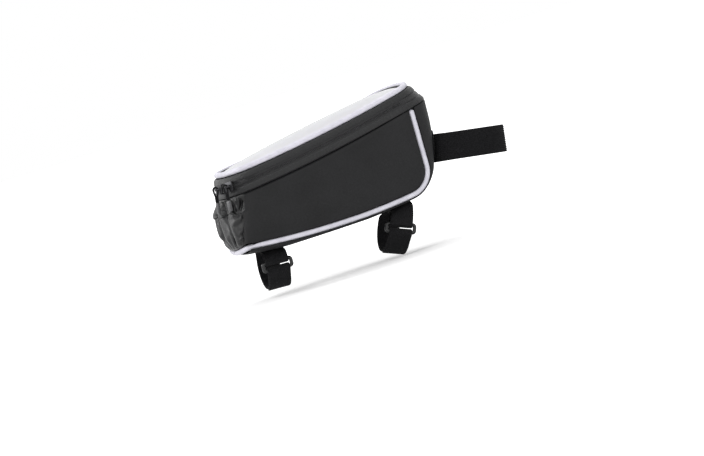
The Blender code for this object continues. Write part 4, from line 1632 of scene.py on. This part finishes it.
            def line(s: float, a: tuple[int, int] = (y0, z0), b: tuple[int, int] = (y1, z1)) -> Vector:
                y = half_y * (a[0] + (b[0] - a[0]) * s)
                z = self.z + half_z * (a[1] + (b[1] - a[1]) * s)
                return Vector((self.front_x(y, z) + 2 * self.form.gap + self.form.webbing, y, z))

            rows += spots_on(line, lambda _m, _a: Vector((1, 0, 0)), 0.0028)
        self.fitter.fit(stitches("stitches_patch", rows), "bag", "webbing", self.fitter.palette.thread)


@dataclass
class Slider:
    """One zip slider with its wire bail, corded pull and moulded tab."""

    form: BagForm
    fitter: Fitter
    side: Side
    q: float
    length: float = 0.010
    width: float = 0.0085
    lift: float = 0.0019
    plate: float = 0.0014
    neck: float = 0.0006
    frame_step: float = 0.02
    cast_fill: float = 0.0008
    inner_clear: float = 0.0012
    inner_length: float = 0.008
    bail_wire: float = 0.0007
    bail_half: float = 0.0030
    cord: float = 0.0007
    cord_fill: float = 0.0002
    pull_length: float = 0.0110
    tab: tuple[float, float, float] = (0.0050, 0.0095, 0.0022)
    tab_edge: float = 0.0009

    @property
    def bail_z(self) -> float:
        """Height of the bail's bar out of the rear face."""
        return self.lift + self.plate + 2 * self.cord + self.bail_wire * math.sqrt(2) + 3 * self.form.gap

    def frame(self) -> Matrix:
        """The slider's own frame on the rounded rear: X along the zip, Y up the band, Z out of it."""
        form, height = self.form, self.form.zip_height
        ahead = form.plan_point(0, self.q + self.frame_step, height)
        along = (ahead - form.plan_point(0, self.q - self.frame_step, height)).normalized()
        up = form.plan_point(0, self.q, height + form.wall) - form.plan_point(0, self.q, height - form.wall)
        up = (up - along * up.dot(along)).normalized()
        out = along.cross(up)
        if out.x > 0:
            along, out = -along, -out
        place = Matrix.Translation(form.plan_point(0, self.q, height))
        return place @ Matrix((along, up, out)).transposed().to_4x4()

    def build(self) -> None:
        """Build the slider, its cord and its tab."""
        paint, word = self.fitter.palette, self.side.word
        self.fitter.fit(self.metal(), f"slider_{word}", "slider", paint.slider, f"slider_{word}")
        self.fitter.fit(self.bail(), f"slider_{word}", "slider", paint.slider)
        self.fitter.fit(self.strands(), f"pull_{word}", "pull_cord", paint.webbing, f"pull_cord_{word}")
        self.fitter.fit(self.grip(), f"pull_{word}", "pull_tab", paint.pull, f"pull_tab_{word}")

    def block(
        self, bm: bmesh.types.BMesh, size: tuple[float, float, float], middle: tuple[float, float, float]
    ) -> None:
        """Add a block to a bmesh."""
        bmesh.ops.create_cube(bm, size=1.0, matrix=Matrix.Translation(middle) @ Matrix.Diagonal((*size, 1.0)))

    def metal(self) -> bpy.types.Object:
        """Top plate with turned-down wings, neck and inner plate."""
        bm = bmesh.new()
        top_z = self.lift + self.plate / 2
        self.block(bm, (self.length + self.cast_fill, self.width + self.cast_fill, self.plate), (0, 0, top_z))
        corners = [e for e in bm.edges if abs(e.verts[0].co.z - e.verts[1].co.z) > self.plate / 2]
        bmesh.ops.bevel(bm, geom=corners, offset=0.0026, segments=6, profile=0.5, affect="EDGES", material=-1)
        level = [e for e in bm.edges if abs(e.verts[0].co.z - e.verts[1].co.z) < 1e-6]
        shared = [e for e in level if len(e.link_faces) == 2]
        rims = [e for e in shared if sum(abs(face.normal.z) for face in e.link_faces) < 1.5]
        bmesh.ops.bevel(bm, geom=rims, offset=0.0005, segments=3, profile=0.5, affect="EDGES", material=-1)
        for sign in (-1, 1):
            wing = (self.length * 0.72, 0.0010, self.lift * 0.85)
            self.block(bm, wing, (0.0002, sign * (self.width / 2 - 0.0004), self.lift * 0.6))
        inside_z = -(self.form.wall + self.inner_clear + self.plate / 2)
        slot = self.form.plan_point(0, self.q, self.form.zip_height, self.form.wall / 2)
        slot_up = (self.frame().inverted() @ slot).y
        self.block(bm, (0.0022, self.neck, top_z - inside_z), (0.0018, slot_up, (top_z + inside_z) / 2))
        inner = (self.inner_length, 2 * (self.form.slot_half - self.form.gap), self.plate)
        self.block(bm, inner, (0, slot_up, inside_z))
        bmesh.ops.transform(bm, matrix=self.frame(), verts=bm.verts[:])
        return finish_mesh(f"dressed_slider_{self.side.word}", bm, sharp=40)

    def bail(self) -> bpy.types.Object:
        """The wire arch that holds the pull."""
        frame, low = self.frame(), self.lift + self.plate * 0.6
        path = [Vector((-self.bail_half, 0, low))]
        for index in range(13):
            angle = math.pi * (1 - index / 12)
            rise = self.bail_z - low
            path.append(Vector((self.bail_half * math.cos(angle), 0, low + rise * math.sin(angle) ** 0.5)))
        path.append(Vector((self.bail_half, 0, low)))
        level = frame.to_3x3() @ Vector((0, 1, 0))
        tube = Tube(f"slider_bail_{self.side.word}", self.bail_wire, 10, level=level)
        return tube.make([frame @ p for p in path])

    def strands(self) -> bpy.types.Object:
        """The cord that loops through the bail and hangs in two strands."""
        frame, foot = self.frame(), -self.pull_length
        turn = self.bail_wire * math.sqrt(2) + 2 * self.form.gap + self.cord
        path = []
        for index in range(13):
            angle = math.pi * index / 12
            path.append(Vector((0, turn * math.sin(angle), self.bail_z + turn * math.cos(angle))))
        down = (0.25, 0.5, 0.75, 1.0)
        for side, share in [(-1, share) for share in down] + [(1, share) for share in reversed(down)]:
            spread = turn + (self.cord * 1.15 - turn) * smooth(share * 1.6)
            path.append(Vector((0, foot * share, self.bail_z + side * spread)))
        level = frame.to_3x3() @ Vector((1, 0, 0))
        thick = self.cord + self.cord_fill
        tube = Tube(f"pull_strands_{self.side.word}", thick, 10, cyclic=True, level=level)
        return tube.make([frame @ p for p in path])

    def grip(self) -> bpy.types.Object:
        """The small moulded tab at the cord's end."""
        width, length, thick = self.tab
        bm = bmesh.new()
        middle = -self.pull_length - self.cord - self.form.gap - length / 2
        self.block(bm, (width, length, thick), (0, middle, self.bail_z))
        bmesh.ops.bevel(
            bm, geom=bm.edges[:], offset=self.tab_edge, segments=4, profile=0.5, affect="EDGES", material=-1
        )
        for share in (-0.25, 0.0, 0.25):
            for sign in (-1, 1):
                spot = (0, middle + share * length, self.bail_z + sign * thick / 2)
                self.block(bm, (width * 0.7, 0.0007, 0.0005), spot)
        bmesh.ops.transform(bm, matrix=self.frame(), verts=bm.verts[:])
        return finish_mesh(f"dressed_tab_{self.side.word}", bm, sharp=60)


@dataclass(frozen=True)
class Studio:
    """Pale floor, white surround, soft lamps and the camera."""

    azimuth: float = -14.0
    elevation: float = 3.7
    roll: float = 17.3
    distance: float = 2.6
    picture_width: int = 704
    picture_height: int = 456
    pixels_per_metre: float = 1125.0
    origin_pixel: tuple[float, float] = (334.3, 231.8)
    aim: tuple[float, float, float] = (0.0, -0.0376, 0.0)
    floor_z: float = -0.0425
    floor_half: float = 12.0
    floor_clear: float = 0.22
    floor_fade: float = 0.5
    sensor: float = 36.0

    def build(self) -> None:
        """Set up floor, world, lamps and camera."""
        self.floor()
        self.world()
        self.lamp("key_softbox", (-0.9, -1.5, 1.6), 1.3, 20.0)
        self.lamp("top_softbox", (0.3, 0.3, 1.9), 1.2, 15.0)
        self.lamp("rear_softbox", (-1.8, 0.7, 0.8), 0.6, 14.0)
        self.lamp("front_softbox", (1.5, -1.2, 0.5), 0.9, 5.0)
        self.camera()
        bpy.context.scene.view_settings.view_transform = "Standard"

    def axes(self) -> tuple[Vector, Vector, Vector]:
        """The camera's right, up and back directions."""
        a, e, r = (math.radians(v) for v in (self.azimuth, self.elevation, self.roll))
        back = Vector((math.sin(a) * math.cos(e), -math.cos(a) * math.cos(e), math.sin(e)))
        level = Vector((math.cos(a), math.sin(a), 0))
        up = back.cross(level)
        return level * math.cos(r) - up * math.sin(r), level * math.sin(r) + up * math.cos(r), back

    def camera(self) -> None:
        """Place the camera so that the seat's near edge falls on its pixel."""
        right, up, back = self.axes()
        dx = (self.origin_pixel[0] - self.picture_width / 2) / self.pixels_per_metre
        dy = (self.picture_height / 2 - self.origin_pixel[1]) / self.pixels_per_metre
        target = Vector(self.aim) - right * dx - up * dy
        data = bpy.data.cameras.new("camera")
        data.sensor_width = self.sensor
        data.lens = self.sensor * self.distance * self.pixels_per_metre / self.picture_width
        obj = bpy.data.objects.new("camera", data)
        obj.location = target + back * self.distance
        obj.rotation_mode = "QUATERNION"
        obj.rotation_quaternion = Matrix((right, up, back)).transposed().to_quaternion()
        bpy.context.scene.collection.objects.link(obj)
        bpy.context.scene.camera = obj

    def lamp(self, name: str, place: tuple[float, float, float], size: float, power: float) -> None:
        """A square soft lamp that faces the bag."""
        data = bpy.data.lights.new(name, "AREA")
        data.shape, data.size, data.energy = "SQUARE", size, power
        obj = bpy.data.objects.new(name, data)
        obj.location = place
        obj.rotation_mode = "QUATERNION"
        obj.rotation_quaternion = (Vector((0.02, 0, 0.05)) - Vector(place)).to_track_quat("-Z", "Y")
        bpy.context.scene.collection.objects.link(obj)

    def floor(self) -> None:
        """The pale floor below the bag."""
        bm = bmesh.new()
        level = Matrix.Translation((0, 0, self.floor_z))
        bmesh.ops.create_grid(bm, x_segments=1, y_segments=1, size=self.floor_half, matrix=level)
        floor = finish_mesh("floor", bm)
        kit = NodeKit("floor_white")
        grain = kit.speckle(kit.place("Object"), 0.4, 1.0)
        kit.feed("Base Color", kit.blend(grain, (0.93, 0.93, 0.93), (0.95, 0.95, 0.95)))
        kit.set(Roughness=0.9, Specular_IOR_Level=0.1)
        far = kit.add("VectorMath", kit.place("Object"), operation="LENGTH").outputs["Value"]
        reach = self.floor_clear, self.floor_clear + self.floor_fade
        share = kit.add("MapRange", far, *reach, 0.3, 1.0).outputs[0]
        seen = kit.add("LightPath").outputs["Is Camera Ray"]
        kit.feed("Emission Strength", kit.math("MULTIPLY", seen, share))
        kit.set(Emission_Color=(1.0, 1.0, 1.0, 1.0))
        floor.data.materials.append(kit.material)

    def world(self) -> None:
        """White where it is seen or mirrored, softer where it only lights."""
        world = bpy.data.worlds.new("studio")
        bpy.context.scene.world = world
        world.use_nodes = True
        tree = world.node_tree
        background = tree.nodes["Background"]
        background.inputs["Color"].default_value = (1.0, 1.0, 1.0, 1.0)
        rays = tree.nodes.new("ShaderNodeLightPath")
        seen = rays.outputs["Is Camera Ray"]
        for name in ("Is Glossy Ray", "Is Transmission Ray"):
            both = tree.nodes.new("ShaderNodeMath")
            both.operation = "MAXIMUM"
            tree.links.new(seen, both.inputs[0])
            tree.links.new(rays.outputs[name], both.inputs[1])
            seen = both.outputs[0]
        strength = tree.nodes.new("ShaderNodeMapRange")
        strength.inputs["To Min"].default_value = 0.45
        strength.inputs["To Max"].default_value = 1.0
        tree.links.new(seen, strength.inputs["Value"])
        tree.links.new(strength.outputs["Result"], background.inputs["Strength"])


def write_sizes() -> None:
    """Bring the view layer up to date."""
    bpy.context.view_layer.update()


def main() -> None:
    """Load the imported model, dress it and light it."""
    logging.basicConfig(level=logging.INFO, format="%(name)s: %(message)s")
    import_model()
    fitter = Fitter(Palette.mix())
    form = BagForm()
    Studio().build()
    Body(form, fitter).build()
    ZipBand(form, fitter).build()
    Lid(form, fitter).build()
    TubeStrap(form, fitter, "rear", -0.0535, math.radians(3), tube_radius=0.0160, ring_top=-0.0096).build()
    TubeStrap(form, fitter, "front", 0.0700, math.radians(22), tube_radius=0.0190, ring_top=-0.0142).build()
    SteererStrap(form, fitter).build()
    Slider(form, fitter, Side.NEAR, q=-0.71).build()
    Slider(form, fitter, Side.FAR, q=-0.37).build()
    write_sizes()
    log.info("%d pieces dressed", fitter.count)


if __name__ == "__main__":
    main()
